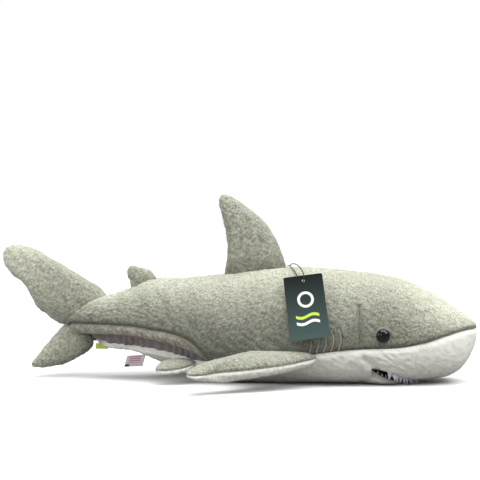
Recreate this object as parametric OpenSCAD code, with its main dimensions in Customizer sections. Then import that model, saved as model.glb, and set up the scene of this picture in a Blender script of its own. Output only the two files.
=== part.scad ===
// Grey and white plush shark of the hand-puppet kind: stuffed body with a glove
// pocket, opening mouth, sewn-on fins, safety eyes, care label and hang tag.
// Nose points along +X, the back is up (+Z) and the floor is Z = 0.

/* [Body] */
// Length of the stuffed body, tail seam to nose
trunk_len = 550; // [460:5:660]
// Height of the back above the floor
trunk_h = 151; // [126:1:182]
// Greatest width of the body
trunk_w = 144; // [120:1:173]
// Where the tail seam lies, along X
tail_seam_x = -232; // [-290:1:-190]

/* [Cloth and stuffing] */
// Thickness of the plush with its backing
plush_t = 2.6; // [2:0.1:3.4]
// Thickness of the lining cloth
lining_t = 1.4; // [1:0.1:1.8]
// Thickness of the felt of the teeth
felt_t = 1.4; // [1:0.1:1.8]
// Space left between one layer and the next
layer_gap = 1; // [0.8:0.1:1.4]
// Space between two panels at a seam
seam_gap = 0.4; // [0.3:0.1:0.8]

/* [Mouth] */
// Length of the lower jaw in front of its hinge line
jaw_len = 42; // [35:1:48]
// Width of the lower jaw at its hinge line
jaw_w = 92; // [77:1:100]
// Height of the lower jaw at the corner of the mouth
jaw_h = 20; // [17:0.5:21]
// Height of the roof of the mouth above the floor
palate_z = 26; // [25:0.5:31]
// Length of an upper tooth
tooth_h = 6; // [5:0.5:7]
// Number of teeth across the upper lip
upper_teeth_n = 22; // [14:2:30]
// Number of teeth across the lower lip
lower_teeth_n = 14; // [8:2:20]

/* [Hand pocket] */
// Height of the glove pocket
pocket_h = 34; // [28:1:40]
// Width of the glove pocket
pocket_w = 88; // [74:1:96]

/* [Dorsal fins] */
// Height of the first dorsal fin
dorsal_h = 107; // [89:1:128]
// Length of the first dorsal fin at its base
dorsal_len = 79; // [66:1:95]
// Thickness of the first dorsal fin
dorsal_t = 26; // [22:1:31]
// Height of the second dorsal fin
second_h = 29; // [24:1:35]
// Length of the second dorsal fin at its base
second_len = 36; // [30:1:43]
// Thickness of the second dorsal fin
second_t = 14; // [12:1:17]

/* [Tail fin] */
// Length of the upper lobe
upper_lobe_len = 138; // [115:1:165]
// Thickness of the upper lobe
upper_lobe_t = 24; // [20:1:29]
// Length of the lower lobe
lower_lobe_len = 84; // [70:1:100]
// Thickness of the lower lobe
lower_lobe_t = 18; // [15:1:21]

/* [Side fins] */
// Reach of a pectoral fin, root to tip, sideways
pectoral_span = 84; // [70:1:101]
// Length of a pectoral fin, front to back
pectoral_len = 158; // [132:1:190]
// Thickness of a pectoral fin
pectoral_t = 25; // [21:1:27]
// Reach of a pelvic fin sideways
pelvic_span = 24; // [20:1:29]
// Length of a pelvic fin, front to back
pelvic_len = 50; // [42:1:60]
// Thickness of a pelvic fin
pelvic_t = 14; // [12:1:17]

/* [Eyes, tag and label] */
// Diameter of a safety eye
eye_d = 18; // [15:0.5:21]
// Diameter of the stem of a safety eye
eye_stem_d = 5; // [4:0.5:6]
// Diameter of the washer that locks an eye
washer_d = 16; // [13:0.5:19]
// Width of the hang tag
tag_w = 50.8; // [42:0.1:60]
// Height of the hang tag
tag_h = 85; // [71:1:102]
// Thickness of the card of the tag
tag_t = 0.6; // [0.4:0.1:1]
// Diameter of the hole in the tag
tag_hole_d = 4; // [3:0.1:5]
// Diameter of the string of the tag
string_d = 1.4; // [1:0.1:2]
// Width of the care label
label_w = 27; // [22:1:32]
// Height of the care label
label_h = 15; // [12:1:18]

/* [Hidden] */

GREY = [0.62, 0.62, 0.57];
WHITE = [0.90, 0.90, 0.87];
LINING = [0.36, 0.32, 0.33];
RED = [0.45, 0.12, 0.12];
FELT = [0.76, 0.74, 0.80];
FILL = [0.95, 0.95, 0.92];
BLACK = [0.08, 0.08, 0.08];
THREAD = [0.68, 0.66, 0.58];
CARD = [0.25, 0.33, 0.32];
LIME = [0.75, 0.85, 0.45];

// Clearance between two bodies that move
body_gap = 2;
// Depth of the outside of the stuffing under the outside of the plush
fill_depth = plush_t + layer_gap;
// Depth at which the trunk stuffing ends and the head stuffing starts
throat_s = 0.738;
head_s = 0.745;

// ---------------------------------------------------------------- curves
// A curve is a list of [share of the body length, share of the body height or width].
// curve() reads it anywhere, smoothly and without overshoot.
function part_at(p, s) = max([0, for (i = [1 : len(p) - 2]) if (s >= p[i][0]) i]);
function rise(p, i) = (p[i + 1][1] - p[i][1]) / (p[i + 1][0] - p[i][0]);
function slope(p, i) =
    i == 0 ? rise(p, 0)
    : i == len(p) - 1 ? rise(p, i - 1)
    : rise(p, i - 1) * rise(p, i) <= 0 ? 0
    : 2 * rise(p, i - 1) * rise(p, i) / (rise(p, i - 1) + rise(p, i));
function curve(p, s) =
    let (i = part_at(p, s), h = p[i + 1][0] - p[i][0])
    let (t = min(1, max(0, (s - p[i][0]) / h)))
    (2 * t ^ 3 - 3 * t ^ 2 + 1) * p[i][1] + (t ^ 3 - 2 * t ^ 2 + t) * h * slope(p, i)
    + (3 * t ^ 2 - 2 * t ^ 3) * p[i + 1][1] + (t ^ 3 - t ^ 2) * h * slope(p, i + 1);

// Smooth closed outline through a few corner points, n steps between each two
function spline(a, b, c, d, t) =
    0.5 * (2 * b + (c - a) * t + (2 * a - 5 * b + 4 * c - d) * t ^ 2
    + (3 * b - a - 3 * c + d) * t ^ 3);
function outline(p, n) =
    let (k = len(p))
    [for (i = [0 : k - 1]) for (j = [0 : n - 1])
        spline(p[(i + k - 1) % k], p[i], p[(i + 1) % k], p[(i + 2) % k], j / n)];
// Smooth open route through its points
function route(p, n) =
    let (k = len(p) - 1)
    [for (i = [0 : k - 1]) for (j = [0 : (i == k - 1 ? n : n - 1)])
        spline(p[max(0, i - 1)], p[i], p[i + 1], p[min(k, i + 2)], j / n)];

// Side and top views of the body, from the tail seam (0) to the nose (1)
BACK = [[0, 0.515], [0.009, 0.565], [0.024, 0.625], [0.044, 0.68], [0.08, 0.725], [0.11, 0.745],
    [0.165, 0.812], [0.21, 0.878], [0.28, 0.897], [0.39, 0.932], [0.56, 1], [0.73, 0.954],
    [0.81, 0.903], [0.876, 0.806], [0.92, 0.715], [0.97, 0.592], [0.99, 0.54], [1, 0.5]];
BELLY = [[0, 0.495], [0.009, 0.455], [0.024, 0.41], [0.045, 0.375], [0.08, 0.31], [0.12, 0.275],
    [0.165, 0.26], [0.23, 0.18], [0.33, 0.085], [0.41, 0], [0.742, 0], [0.8, 0.013],
    [0.876, 0.034], [0.923, 0.063], [0.947, 0.1], [0.965, 0.15], [0.982, 0.24], [0.993, 0.34],
    [1, 0.46]];
GIRTH = [[0, 0.06], [0.009, 0.13], [0.024, 0.2], [0.045, 0.27], [0.08, 0.36], [0.165, 0.54],
    [0.23, 0.68], [0.33, 0.85], [0.43, 0.95], [0.54, 1], [0.65, 0.985], [0.74, 0.93],
    [0.81, 0.88], [0.876, 0.79], [0.923, 0.68], [0.955, 0.54], [0.98, 0.35], [0.993, 0.19],
    [1, 0.05]];
WAIST = [[0, 0.505], [0.045, 0.52], [0.11, 0.5], [0.23, 0.48], [0.41, 0.42], [0.74, 0.4],
    [0.92, 0.39], [0.965, 0.4], [0.99, 0.44], [1, 0.48]];
// Seam between the grey back and the white underside, as it runs without the opening
COLOUR_SEAM = [[0, 0.2], [0.05, 0.25], [0.08, 0.33], [0.15, 0.335], [0.23, 0.26], [0.33, 0.19],
    [0.42, 0.185], [0.5, 0.21], [0.58, 0.262], [0.64, 0.298], [0.72, 0.328], [0.81, 0.34],
    [0.876, 0.382], [0.923, 0.435], [0.97, 0.479], [1, 0.489]];
// The right side has the opening: its hem, the free edge of the hem and the belly edge
HEM_SEAM = [[0, 0.45], [0.02, 0.485], [0.085, 0.49], [0.165, 0.488], [0.215, 0.463],
    [0.28, 0.428], [0.32, 0.37], [0.35, 0.265], [0.37, 0.2]];
HEM_EDGE = [[0, 0.43], [0.045, 0.397], [0.15, 0.397], [0.215, 0.375], [0.28, 0.322],
    [0.33, 0.256], [0.37, 0.185]];
BELLY_EDGE = [[0.08, 0.304], [0.15, 0.284], [0.215, 0.272], [0.28, 0.23], [0.33, 0.18],
    [0.37, 0.165]];
hem_s = 0.365;
// Upper lip, from the corner of the mouth to where both sides meet under the snout
LIP = [[0.742, 0.15], [0.752, 0.146], [0.796, 0.106], [0.831, 0.056], [0.858, 0.037],
    [0.876, 0.03], [0.9, 0]];
mouth_end_s = 0.868;
// Roof of the mouth, as a share of its height above the lip
PALATE = [[0.742, 0.85], [0.77, 1], [0.8, 1], [0.835, 0.75], [0.858, 0.35], [0.87, 0.1]];
// Centre height of the glove pocket, and its size as a share of its greatest size
POCKET_Z = [[0.03, 0.46], [0.12, 0.4], [0.2, 0.37], [0.33, 0.315], [0.5, 0.33], [0.738, 0.35]];
POCKET_SIZE = [[0.03, 0.2], [0.1, 0.32], [0.2, 0.55], [0.33, 0.95], [0.6, 1], [0.738, 0.85]];

STATIONS = [0.004, 0.012, 0.025, 0.045, 0.08, 0.12, 0.165, 0.21, 0.26, 0.315, 0.34, 0.365, 0.42, 0.48,
    0.54, 0.6, 0.655, 0.7, throat_s, head_s, 0.77, 0.8, 0.83, 0.858, 0.876, 0.9, 0.92, 0.94,
    0.957, 0.97, 0.98, 0.988, 0.994, 0.998];
function between(a, b) = [for (s = STATIONS) if (s >= a - 0.0001 && s <= b + 0.0001) s];

function x_at(s) = tail_seam_x + trunk_len * s;
function s_at(x) = (x - tail_seam_x) / trunk_len;
function top(s) = trunk_h * curve(BACK, s);
function bottom(s) = trunk_h * curve(BELLY, s);
function waist(s) = trunk_h * curve(WAIST, s);
function half_w(s) = trunk_w / 2 * curve(GIRTH, s);

// Roundness of the cross-section above and below its widest height
round_up = 2.2;
round_down = 2.5;
// How much of the underside the weight of the toy presses flat on the floor
sag = 1.5;
// Point of the body at station s, a degrees round from the top by the right side, d deep
function skin(s, a, d) =
    let (c = cos(a), w = sin(a), up = c >= 0)
    let (n = up ? round_up : round_down)
    let (tall = up ? top(s) - waist(s) : waist(s) - bottom(s) + (bottom(s) < 1 ? sag : 0))
    let (thin = min(d, 0.6 * tall))
    let (z = waist(s) + sign(c) * (tall - thin) * abs(c) ^ (2 / n))
    let (y = -sign(w) * max(half_w(s) - d, 0.4 * half_w(s)) * abs(w) ^ (2 / n))
    [x_at(s) - (s - 0.5) * 2 * d, y, max(z, bottom(s) < 1 ? d : 0)];
// Angle round the body at which the skin of station s has height z, on the right side
function turn(s, z) =
    let (t = top(s), b = bottom(s), m = waist(s))
    z >= m ? acos(min(1, (z - m) / (t - m)) ^ (round_up / 2))
    : acos(-(min(1, (m - z) / (m - b)) ^ (round_down / 2)));

// ---------------------------------------------------------------- solids
// Closed shell between two grids of points that have the same rows and columns
function quad(a, b, c, d) = [[a, b, c], [a, c, d]];
module shell(out, inn) {
    r = len(out);
    c = len(out[0]);
    n = r * c;
    function id(i, j) = i * c + j;
    points = concat([for (row = out) for (p = row) p], [for (row = inn) for (p = row) p]);
    faces = [
        for (i = [0 : r - 2]) for (j = [0 : c - 2]) for (f = concat(
            quad(id(i, j), id(i + 1, j), id(i + 1, j + 1), id(i, j + 1)),
            quad(n + id(i, j), n + id(i, j + 1), n + id(i + 1, j + 1), n + id(i + 1, j)))) f,
        for (i = [0 : r - 2]) for (f = concat(
            quad(id(i, 0), n + id(i, 0), n + id(i + 1, 0), id(i + 1, 0)),
            quad(id(i, c - 1), id(i + 1, c - 1), n + id(i + 1, c - 1), n + id(i, c - 1)))) f,
        for (j = [0 : c - 2]) for (f = concat(
            quad(id(0, j), id(0, j + 1), n + id(0, j + 1), n + id(0, j)),
            quad(id(r - 1, j), n + id(r - 1, j), n + id(r - 1, j + 1), id(r - 1, j + 1)))) f
    ];
    polyhedron(points, faces);
}

// Strip of the body's skin: stations, start and end angle at each, columns and depths
function strip(ss, a0, a1, m, d) =
    [for (s = ss) [for (j = [0 : m]) skin(s, a0(s) + (a1(s) - a0(s)) * j / m, d)]];
module panel(ss, a0, a1, m, d0, d1) {
    shell(strip(ss, a0, a1, m, d0), strip(ss, a0, a1, m, d1));
}

// Tube with round section along a route
module tube(p, d, sides) {
    k = len(p);
    function dir(i) = let (v = p[min(k - 1, i + 1)] - p[max(0, i - 1)]) v / norm(v);
    function side(i) = let (v = cross(dir(i), [1, 0.2, 0.1])) v / norm(v);
    points = [for (i = [0 : k - 1]) for (j = [0 : sides - 1])
        p[i] + d / 2 * (cos(360 * j / sides) * side(i)
        + sin(360 * j / sides) * cross(dir(i), side(i)))];
    function id(i, j) = i * sides + j % sides;
    faces = concat(
        [for (i = [0 : k - 2]) for (j = [0 : sides - 1])
            for (f = quad(id(i, j), id(i + 1, j), id(i + 1, j + 1), id(i, j + 1))) f],
        [[for (j = [0 : sides - 1]) j]],
        [[for (j = [sides - 1 : -1 : 0]) id(k - 1, j)]]);
    polyhedron(points, faces);
}

// Height of a pillow at share r of the way from its middle to its edge
rings = 4;
function swell(r) = (1 - r ^ 2.4) ^ 0.62;
function ring_at(k) = sin(90 * k / rings);
// One side of a pillow: rings from the middle out to the edge
function pillow_side(edge, mid, size, high, place) =
    [for (k = [1 : rings]) [for (p = edge)
        let (r = ring_at(k), q = mid + (p - mid) * size * r)
        place(q[0], q[1], high * swell(r))]];

// Half of a sewn fin: the panel on the side of sign side, closed by its rim at the seam
module fin_panel(edge, mid, thick, side, place, turn_out) {
    n = len(edge);
    reach = min([for (p = edge) norm(p - mid)]);
    inner = 1 - plush_t / reach;
    lift = function (a, b, h) place(a, b, side * (h + seam_gap / 2));
    out = pillow_side(edge, mid, 1, thick / 2 - seam_gap / 2, lift);
    inn = pillow_side(edge, mid, inner, thick / 2 - plush_t, lift);
    c = rings * n;
    points = concat([for (row = out) for (p = row) p], [for (row = inn) for (p = row) p],
        [lift(mid[0], mid[1], thick / 2 - seam_gap / 2), lift(mid[0], mid[1], thick / 2 - plush_t)]);
    function id(k, j) = k * n + j % n;
    faces = [
        for (j = [0 : n - 1]) [2 * c, id(0, j), id(0, j + 1)],
        for (k = [0 : rings - 2]) for (j = [0 : n - 1])
            for (f = quad(id(k, j), id(k + 1, j), id(k + 1, j + 1), id(k, j + 1))) f,
        for (j = [0 : n - 1]) for (f = quad(id(rings - 1, j), c + id(rings - 1, j),
            c + id(rings - 1, j + 1), id(rings - 1, j + 1))) f,
        for (k = [0 : rings - 2]) for (j = [0 : n - 1]) for (f = quad(c + id(k, j),
            c + id(k, j + 1), c + id(k + 1, j + 1), c + id(k + 1, j))) f,
        for (j = [0 : n - 1]) [2 * c + 1, c + id(0, j + 1), c + id(0, j)]
    ];
    polyhedron(points, turn_out ? faces : [for (f = faces) [f[2], f[1], f[0]]]);
}

// The stuffing of a fin, a closed pillow inside both panels
module fin_fill(edge, mid, thick, place, turn_out) {
    n = len(edge);
    reach = min([for (p = edge) norm(p - mid)]);
    size = 1 - fill_depth / reach;
    high = thick / 2 - fill_depth;
    a = pillow_side(edge, mid, size, high, place);
    b = pillow_side(edge, mid, size, -high, place);
    c = rings * n;
    points = concat([for (row = a) for (p = row) p],
        [for (k = [0 : rings - 2]) for (p = b[k]) p],
        [place(mid[0], mid[1], high), place(mid[0], mid[1], -high)]);
    function id(k, j) = k * n + j % n;
    // The last ring is shared by both sides
    function low(k, j) = k == rings - 1 ? id(k, j) : c + id(k, j);
    m = 2 * c - n;
    faces = [
        for (j = [0 : n - 1]) [m, id(0, j), id(0, j + 1)],
        for (k = [0 : rings - 2]) for (j = [0 : n - 1]) for (f = concat(
            quad(id(k, j), id(k + 1, j), id(k + 1, j + 1), id(k, j + 1)),
            quad(low(k, j), low(k, j + 1), low(k + 1, j + 1), low(k + 1, j)))) f,
        for (j = [0 : n - 1]) [m + 1, low(0, j + 1), low(0, j)]
    ];
    polyhedron(points, turn_out ? faces : [for (f = faces) [f[2], f[1], f[0]]]);
}

// ---------------------------------------------------------------- trunk
// Angle of an edge that lies at a curve's height on the right side
function at_curve(p, s, lift) = turn(s, max(bottom(s), trunk_h * curve(p, s) + lift));
function left_back_edge(s) = at_curve(COLOUR_SEAM, s, seam_gap / 2);
function right_back_edge(s) =
    s < hem_s ? at_curve(HEM_SEAM, s, seam_gap / 2) : left_back_edge(s);
function right_belly_edge(s) =
    s < hem_s ? at_curve(BELLY_EDGE, s, 0) : at_curve(COLOUR_SEAM, s, -seam_gap / 2);
function left_belly_edge(s) = 360 - at_curve(COLOUR_SEAM, s, -seam_gap / 2);
// Half the seam gap along the back, as an angle
function ridge(s) = min(8, 30 * seam_gap / half_w(s));
eye_s = 0.775;
eye_a = 85.5;

// Space between an eye and the plush that it stands on
eye_gap = 1;
// Local axes of an eye: a solid drawn along +Z is turned to point out of the head
module at_eye(side) {
    p = skin(eye_s, eye_a, 0);
    translate([p[0], side * p[1], p[2]]) rotate([side * 84, 0, side * 12]) children();
}

// Half of the back on the right side, down to an edge: all but the lowest columns keep
// their place from one station to the next
module back_half(edge) {
    first = 12;
    function last(s) = min(96, edge(s) - 9);
    function turns(s) = concat([ridge(s)], [for (j = [0 : 7]) first + (last(s) - first) * j / 7],
        [for (j = [1 : 3]) last(s) + (edge(s) - last(s)) * j / 3]);
    ss = between(0, 1);
    shell([for (s = ss) [for (a = turns(s)) skin(s, a, 0)]],
        [for (s = ss) [for (a = turns(s)) skin(s, a, plush_t)]]);
}
module eye_hole(side) {
    at_eye(side) cylinder(d = eye_stem_d + 0.6, h = 16, center = true, $fn = 32);
}

module back_cover_right() {
    color(GREY) difference() {
        back_half(function (s) right_back_edge(s));
        eye_hole(1);
    }
}

module back_cover_left() {
    color(GREY) difference() {
        mirror([0, 1, 0]) back_half(function (s) left_back_edge(s));
        eye_hole(-1);
    }
}

function snout_edge(s) = at_curve(COLOUR_SEAM, s, -seam_gap / 2);
function lip_edge(s) = min(at_curve(LIP, s, 0), 180 - 0.5 * ridge(s));
module snout_underside_right() {
    color(WHITE)
        panel(between(head_s, 1), function (s) snout_edge(s), function (s) lip_edge(s), 7, 0, plush_t);
}
module snout_underside_left() {
    color(WHITE) mirror([0, 1, 0])
        panel(between(head_s, 1), function (s) snout_edge(s), function (s) lip_edge(s), 7, 0, plush_t);
}

module belly_cover() {
    color(WHITE) panel(between(0.08, throat_s), function (s) right_belly_edge(s),
        function (s) left_belly_edge(s), 16, 0, plush_t);
}

// Folded hem over the opening, a little proud of the back
module opening_hem() {
    color(GREY) panel(between(0.01, hem_s - 0.02), function (s) at_curve(HEM_SEAM, s, -seam_gap / 2),
        function (s) at_curve(HEM_EDGE, s, 0), 2, -0.6, plush_t);
}

// Point of the wall of the glove pocket, a degrees round from its top by the right side
function pocket(s, a, d) =
    let (k = curve(POCKET_SIZE, s))
    [x_at(s), -(k * pocket_w / 2 - d) * sign(sin(a)) * abs(sin(a)) ^ 0.8,
        trunk_h * curve(POCKET_Z, s) + (k * pocket_h / 2 - d) * sign(cos(a)) * abs(cos(a)) ^ 0.8];
// The stuffing is open along the right side: wide at the hem, a slit in front of it
function gap_top(s) = s < hem_s ? at_curve(HEM_EDGE, s, 0) : at_curve(HEM_EDGE, hem_s, 0) - 3;
function gap_low(s) =
    s < hem_s ? min(150, turn(s, max(bottom(s) + 1, trunk_h * curve(BELLY_EDGE, s))))
    : gap_top(s) + 1.5;
// Angle on the pocket's wall that faces the opening
function mouth_top(s) = s < hem_s ? 74 : 98;
function mouth_low(s) = s < hem_s ? 112 : 100;
around = 30;
// Angles round the body from below the opening to above it: all but the columns next to
// the opening keep their place from one station to the next
function turns(low, high) =
    let (first = 165, last = 455, k = around - 4)
    concat([low, (low + first) / 2], [for (j = [0 : k]) first + (last - first) * j / k],
        [(last + high + 360) / 2, high + 360]);

module trunk_stuffing() {
    ss = between(0.04, throat_s);
    color(FILL) shell(
        [for (s = ss) [for (a = turns(gap_low(s), gap_top(s))) skin(s, a, fill_depth)]],
        [for (s = ss) [for (a = turns(mouth_low(s), mouth_top(s))) pocket(s, a, 0)]]);
}

module hand_lining() {
    ss = between(0.04, throat_s);
    function wall(d) =
        [for (s = ss) [for (a = turns(mouth_low(s), mouth_top(s))) pocket(s, a, d)]];
    color(LINING) shell(wall(layer_gap), wall(layer_gap + lining_t));
}

// ---------------------------------------------------------------- head and mouth
// Roof of the mouth at station s, v from -1 (right lip) to 1 (left lip), up above it
function lip_y(s) = -skin(s, min(lip_edge(s), 176), fill_depth)[1];
function lip_z(s) = skin(s, min(lip_edge(s), 176), fill_depth)[2];
function roof(s, v, up) =
    let (z = lip_z(s), high = max(0, palate_z - z) * curve(PALATE, s))
    [x_at(s), v * lip_y(s), z + up + high * (1 - v ^ 4)];

module palate_lining() {
    ss = between(head_s, mouth_end_s);
    color(RED) shell([for (s = ss) [for (j = [0 : 12]) roof(s, j / 6 - 1, lining_t)]],
        [for (s = ss) [for (j = [0 : 12]) roof(s, j / 6 - 1, 0)]]);
}

module head_stuffing() {
    ss = between(head_s, 0.99);
    // Underside: over the palate in the mouth, along the snout in front of it
    function under(s, v) = s < mouth_end_s ? roof(s, v, lining_t + layer_gap)
        : skin(s, 180 + v * (176 - 164), fill_depth);
    function edge(s) = s < mouth_end_s ? min(lip_edge(s) - 8, 164) : 164;
    out = [for (s = ss) [for (j = [0 : around])
        skin(s, 360 - edge(s) + 2 * edge(s) * j / around, fill_depth)]];
    inn = [for (s = ss) [for (j = [0 : around]) under(s, 1 - 2 * j / around)]];
    color(FILL) difference() {
        shell(out, inn);
        for (side = [1, -1]) at_eye(side) translate([0, 0, -eye_reach - layer_gap])
            cylinder(d = washer_d + 2 * layer_gap, h = eye_reach, $fn = 32);
    }
}

// Felt strip with pointed teeth: n teeth along a row of points, from high to low edge
function zigzag(i, low, deep) = i % 2 == 0 ? low : deep;
module teeth(upper_edge, lower_edge, inward) {
    k = len(upper_edge) - 1;
    out = [for (i = [0 : k]) [upper_edge[i], lower_edge[i]]];
    inn = [for (i = [0 : k]) [upper_edge[i] + inward(i), lower_edge[i] + inward(i)]];
    shell(out, inn);
}

teeth_start_s = 0.79;
module upper_teeth() {
    k = 2 * upper_teeth_n;
    // Station along the lip, right side to left side
    function along(i) = teeth_start_s
        + (mouth_end_s - 0.006 - teeth_start_s) * sin(180 * min(i, k - i) / k) ^ 0.9;
    function hang(i, up) = let (s = along(i), side = i <= k / 2 ? -1 : 1)
        [x_at(s) - 2, side * (lip_y(s) - felt_t) * cos(90 * (1 - abs(1 - 2 * i / k))) ^ 0.25,
            max(0.4, lip_z(s) + up)];
    color(FELT) teeth([for (i = [0 : k]) hang(i, -1)],
        [for (i = [0 : k]) hang(i, zigzag(i, -4, -4 - tooth_h))],
        function (i) [-felt_t, 0, 0] + [0, (i <= k / 2 ? 1 : -1) * 0.6 * felt_t, 0]);
}

// Lower jaw: q goes from 0 at the hinge line to 1 at its tip
jaw_x = x_at(head_s) + body_gap;
function jaw_half(q) = jaw_w / 2 * (1 - q ^ 2.2) ^ 0.5;
function jaw_lip(q) = 4 + (jaw_h - 4) * (1 - q) ^ 2.2;
JAW_ROWS = [0, 0.15, 0.3, 0.45, 0.6, 0.75, 0.87, 0.95, 0.985];
// Outer skin of the jaw, a from 0 at the right lip to 180 at the left, d deep
function jaw_skin(q, a, d) =
    [jaw_x + q * (jaw_len - d), -(jaw_half(q) - min(d, 0.5 * jaw_half(q))) * sign(cos(a)) * abs(cos(a)) ^ 0.7,
        jaw_lip(q) - (jaw_lip(q) - d) * abs(sin(a)) ^ 0.6];
function jaw_top(q, v, down) =
    [jaw_x + q * (jaw_len - plush_t), v * (jaw_half(q) - min(plush_t + layer_gap, 0.5 * jaw_half(q))),
        jaw_lip(q) - down + 0.5];

module jaw_cover() {
    color(WHITE) shell(
        [for (q = JAW_ROWS) [for (j = [0 : 14]) jaw_skin(q, 180 * j / 14, 0)]],
        [for (q = JAW_ROWS) [for (j = [0 : 14]) jaw_skin(q, 180 * j / 14, 1.4)]]);
}
jaw_fill_up = lining_t + layer_gap;
module jaw_pad() {
    rows = [for (q = JAW_ROWS) if (jaw_lip(q) > 1.4 + 2 * layer_gap + lining_t + 1) q];
    color(FILL) shell(
        [for (q = rows) [for (j = [0 : 12]) jaw_skin(q, 15 + 150 * j / 12, 1.4 + layer_gap)]],
        [for (q = rows) [for (j = [0 : 12])
            jaw_top(q, (1 - j / 6) * -0.92, jaw_fill_up + 0.5)]]);
}
module jaw_lining() {
    color(RED) shell(
        [for (q = JAW_ROWS) [for (j = [0 : 8]) jaw_top(q, j / 4 - 1, 0)]],
        [for (q = JAW_ROWS) [for (j = [0 : 8]) jaw_top(q, j / 4 - 1, lining_t)]]);
}
module lower_teeth() {
    k = 2 * lower_teeth_n;
    function stand(i, up) =
        let (a = 180 * i / k, q = 0.2 + 0.72 * sin(a) ^ 0.8)
        [jaw_x + q * (jaw_len - plush_t) - 1.5,
            -(jaw_half(q) - 6) * cos(a) ^ 1, jaw_lip(q) + 1.6 + up];
    function out_y(i) = let (c = cos(180 * i / k)) c;
    color(FELT) teeth([for (i = [0 : k]) stand(i, zigzag(i, 0.8, 3.2))],
        [for (i = [0 : k]) stand(i, 0)],
        function (i) [-felt_t * sin(180 * i / k), felt_t * out_y(i), 0]);
}

// ---------------------------------------------------------------- eyes and trims
washer_t = 1.8;
// How deep the stem of an eye reaches under the outside of the plush
eye_reach = plush_t + layer_gap + washer_t + 2;
module eye(side) {
    color(BLACK) at_eye(side) {
        translate([0, 0, eye_gap]) rotate_extrude($fn = 48) intersection() {
            scale([1, 0.62]) circle(d = eye_d, $fn = 64);
            square(eye_d);
        }
        translate([0, 0, -eye_reach]) cylinder(d = eye_stem_d, h = eye_reach + eye_gap, $fn = 32);
    }
}
module eye_right() { eye(1); }
module eye_left() { eye(-1); }
module eye_washer(side) {
    color(WHITE) at_eye(side) translate([0, 0, -eye_reach + 0.6]) difference() {
        cylinder(d = washer_d, h = washer_t, $fn = 48);
        translate([0, 0, -1]) cylinder(d = eye_stem_d + 0.2, h = washer_t + 2, $fn = 32);
    }
}
module eye_washer_right() { eye_washer(1); }
module eye_washer_left() { eye_washer(-1); }

gill_n = 5;
gill_s = 0.601;
gill_step = 9.4;
gill_d = 1.6;
module gill_stitches(side) {
    color(THREAD) for (i = [0 : gill_n - 1]) {
        s = gill_s + i * gill_step / trunk_len;
        low = trunk_h * curve(COLOUR_SEAM, s) + 5;
        tube([for (t = [0 : 0.2 : 1])
            let (p = skin(s + 0.006 * sin(180 * t), turn(s, low + 24 * t), -gill_d / 2 - 0.5))
            [p[0], side * p[1], p[2]]], gill_d, 5);
    }
}
module gill_stitches_right() { gill_stitches(1); }
module gill_stitches_left() { gill_stitches(-1); }

tab_size = [16, 1.2, 5];
module seam_tab() {
    color(LIME) translate([x_at(0.083), -2, bottom(0.083) - tab_size[2] - 1.2])
        rotate([0, 10, 0]) cube(tab_size, center = false);
}

// ---------------------------------------------------------------- fins
// Outlines are [share of the length, share of the height or span] round the fin
DORSAL = [[1, 0.02], [0.9, 0.25], [0.76, 0.44], [0.58, 0.63], [0.33, 0.8], [0.12, 0.935],
    [-0.04, 0.99], [-0.125, 0.94], [-0.1, 0.785], [-0.055, 0.59], [-0.02, 0.387], [-0.005, 0.18],
    [0, 0], [0.35, 0], [0.7, 0]];
SECOND = [[1, 0.05], [0.72, 0.35], [0.4, 0.62], [0.05, 0.95], [-0.14, 0.92], [-0.16, 0.6],
    [-0.02, 0.28], [0.05, 0], [0.5, 0]];
UPPER_LOBE = [[0.02, 0.43], [0.17, 0.56], [0.29, 0.66], [0.43, 0.77], [0.56, 0.845], [0.67, 0.88],
    [0.79, 0.96], [0.9, 0.995], [0.985, 0.93], [0.99, 0.8], [0.93, 0.7], [0.84, 0.62],
    [0.76, 0.54], [0.69, 0.41], [0.63, 0.27], [0.55, 0.13], [0.46, 0.05], [0.385, 0.1],
    [0.34, 0.175], [0.275, 0.262], [0.19, 0.335], [0.1, 0.39]];
LOWER_LOBE = [[0.49, 0.97], [0.7, 0.6], [0.91, 0.2], [0.985, 0.06], [0.92, 0.01], [0.68, 0.05],
    [0.45, 0.13], [0.27, 0.27], [0.1, 0.42], [0.01, 0.55], [0.1, 0.66], [0.21, 0.74],
    [0.33, 0.85], [0.42, 0.96]];
PECTORAL = [[1, 0], [0.9, 0.15], [0.8, 0.3], [0.62, 0.49], [0.42, 0.67], [0.22, 0.83],
    [0.07, 0.95], [0.0, 1.0], [0.0, 0.9], [0.12, 0.72], [0.26, 0.5], [0.36, 0.28], [0.43, 0.09],
    [0.5, 0], [0.75, 0]];
PELVIC = [[1, 0.02], [0.88, 0.35], [0.55, 0.78], [0.16, 0.98], [0, 0.84], [0.02, 0.42], [0.25, 0.04],
    [0.65, 0]];
function sized(p, a, b) = [for (q = outline(p, 2)) [q[0] * a, q[1] * b]];

dorsal_x = -15;
dorsal_edge = sized(DORSAL, dorsal_len, dorsal_h);
dorsal_mid = [0.3 * dorsal_len, 0.38 * dorsal_h];
function on_back(x0, a, b, h) =
    [x0 + a, h, top(s_at(x0 + a)) + body_gap + b];
function dorsal_place() = function (a, b, h) on_back(dorsal_x, a, b, h);
module dorsal_panel_right() {
    color(GREY) fin_panel(dorsal_edge, dorsal_mid, dorsal_t, -1, dorsal_place(), true);
}
module dorsal_panel_left() {
    color(GREY) fin_panel(dorsal_edge, dorsal_mid, dorsal_t, 1, dorsal_place(), false);
}
module dorsal_stuffing() {
    color(FILL) fin_fill(dorsal_edge, dorsal_mid, dorsal_t, dorsal_place(), false);
}

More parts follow.
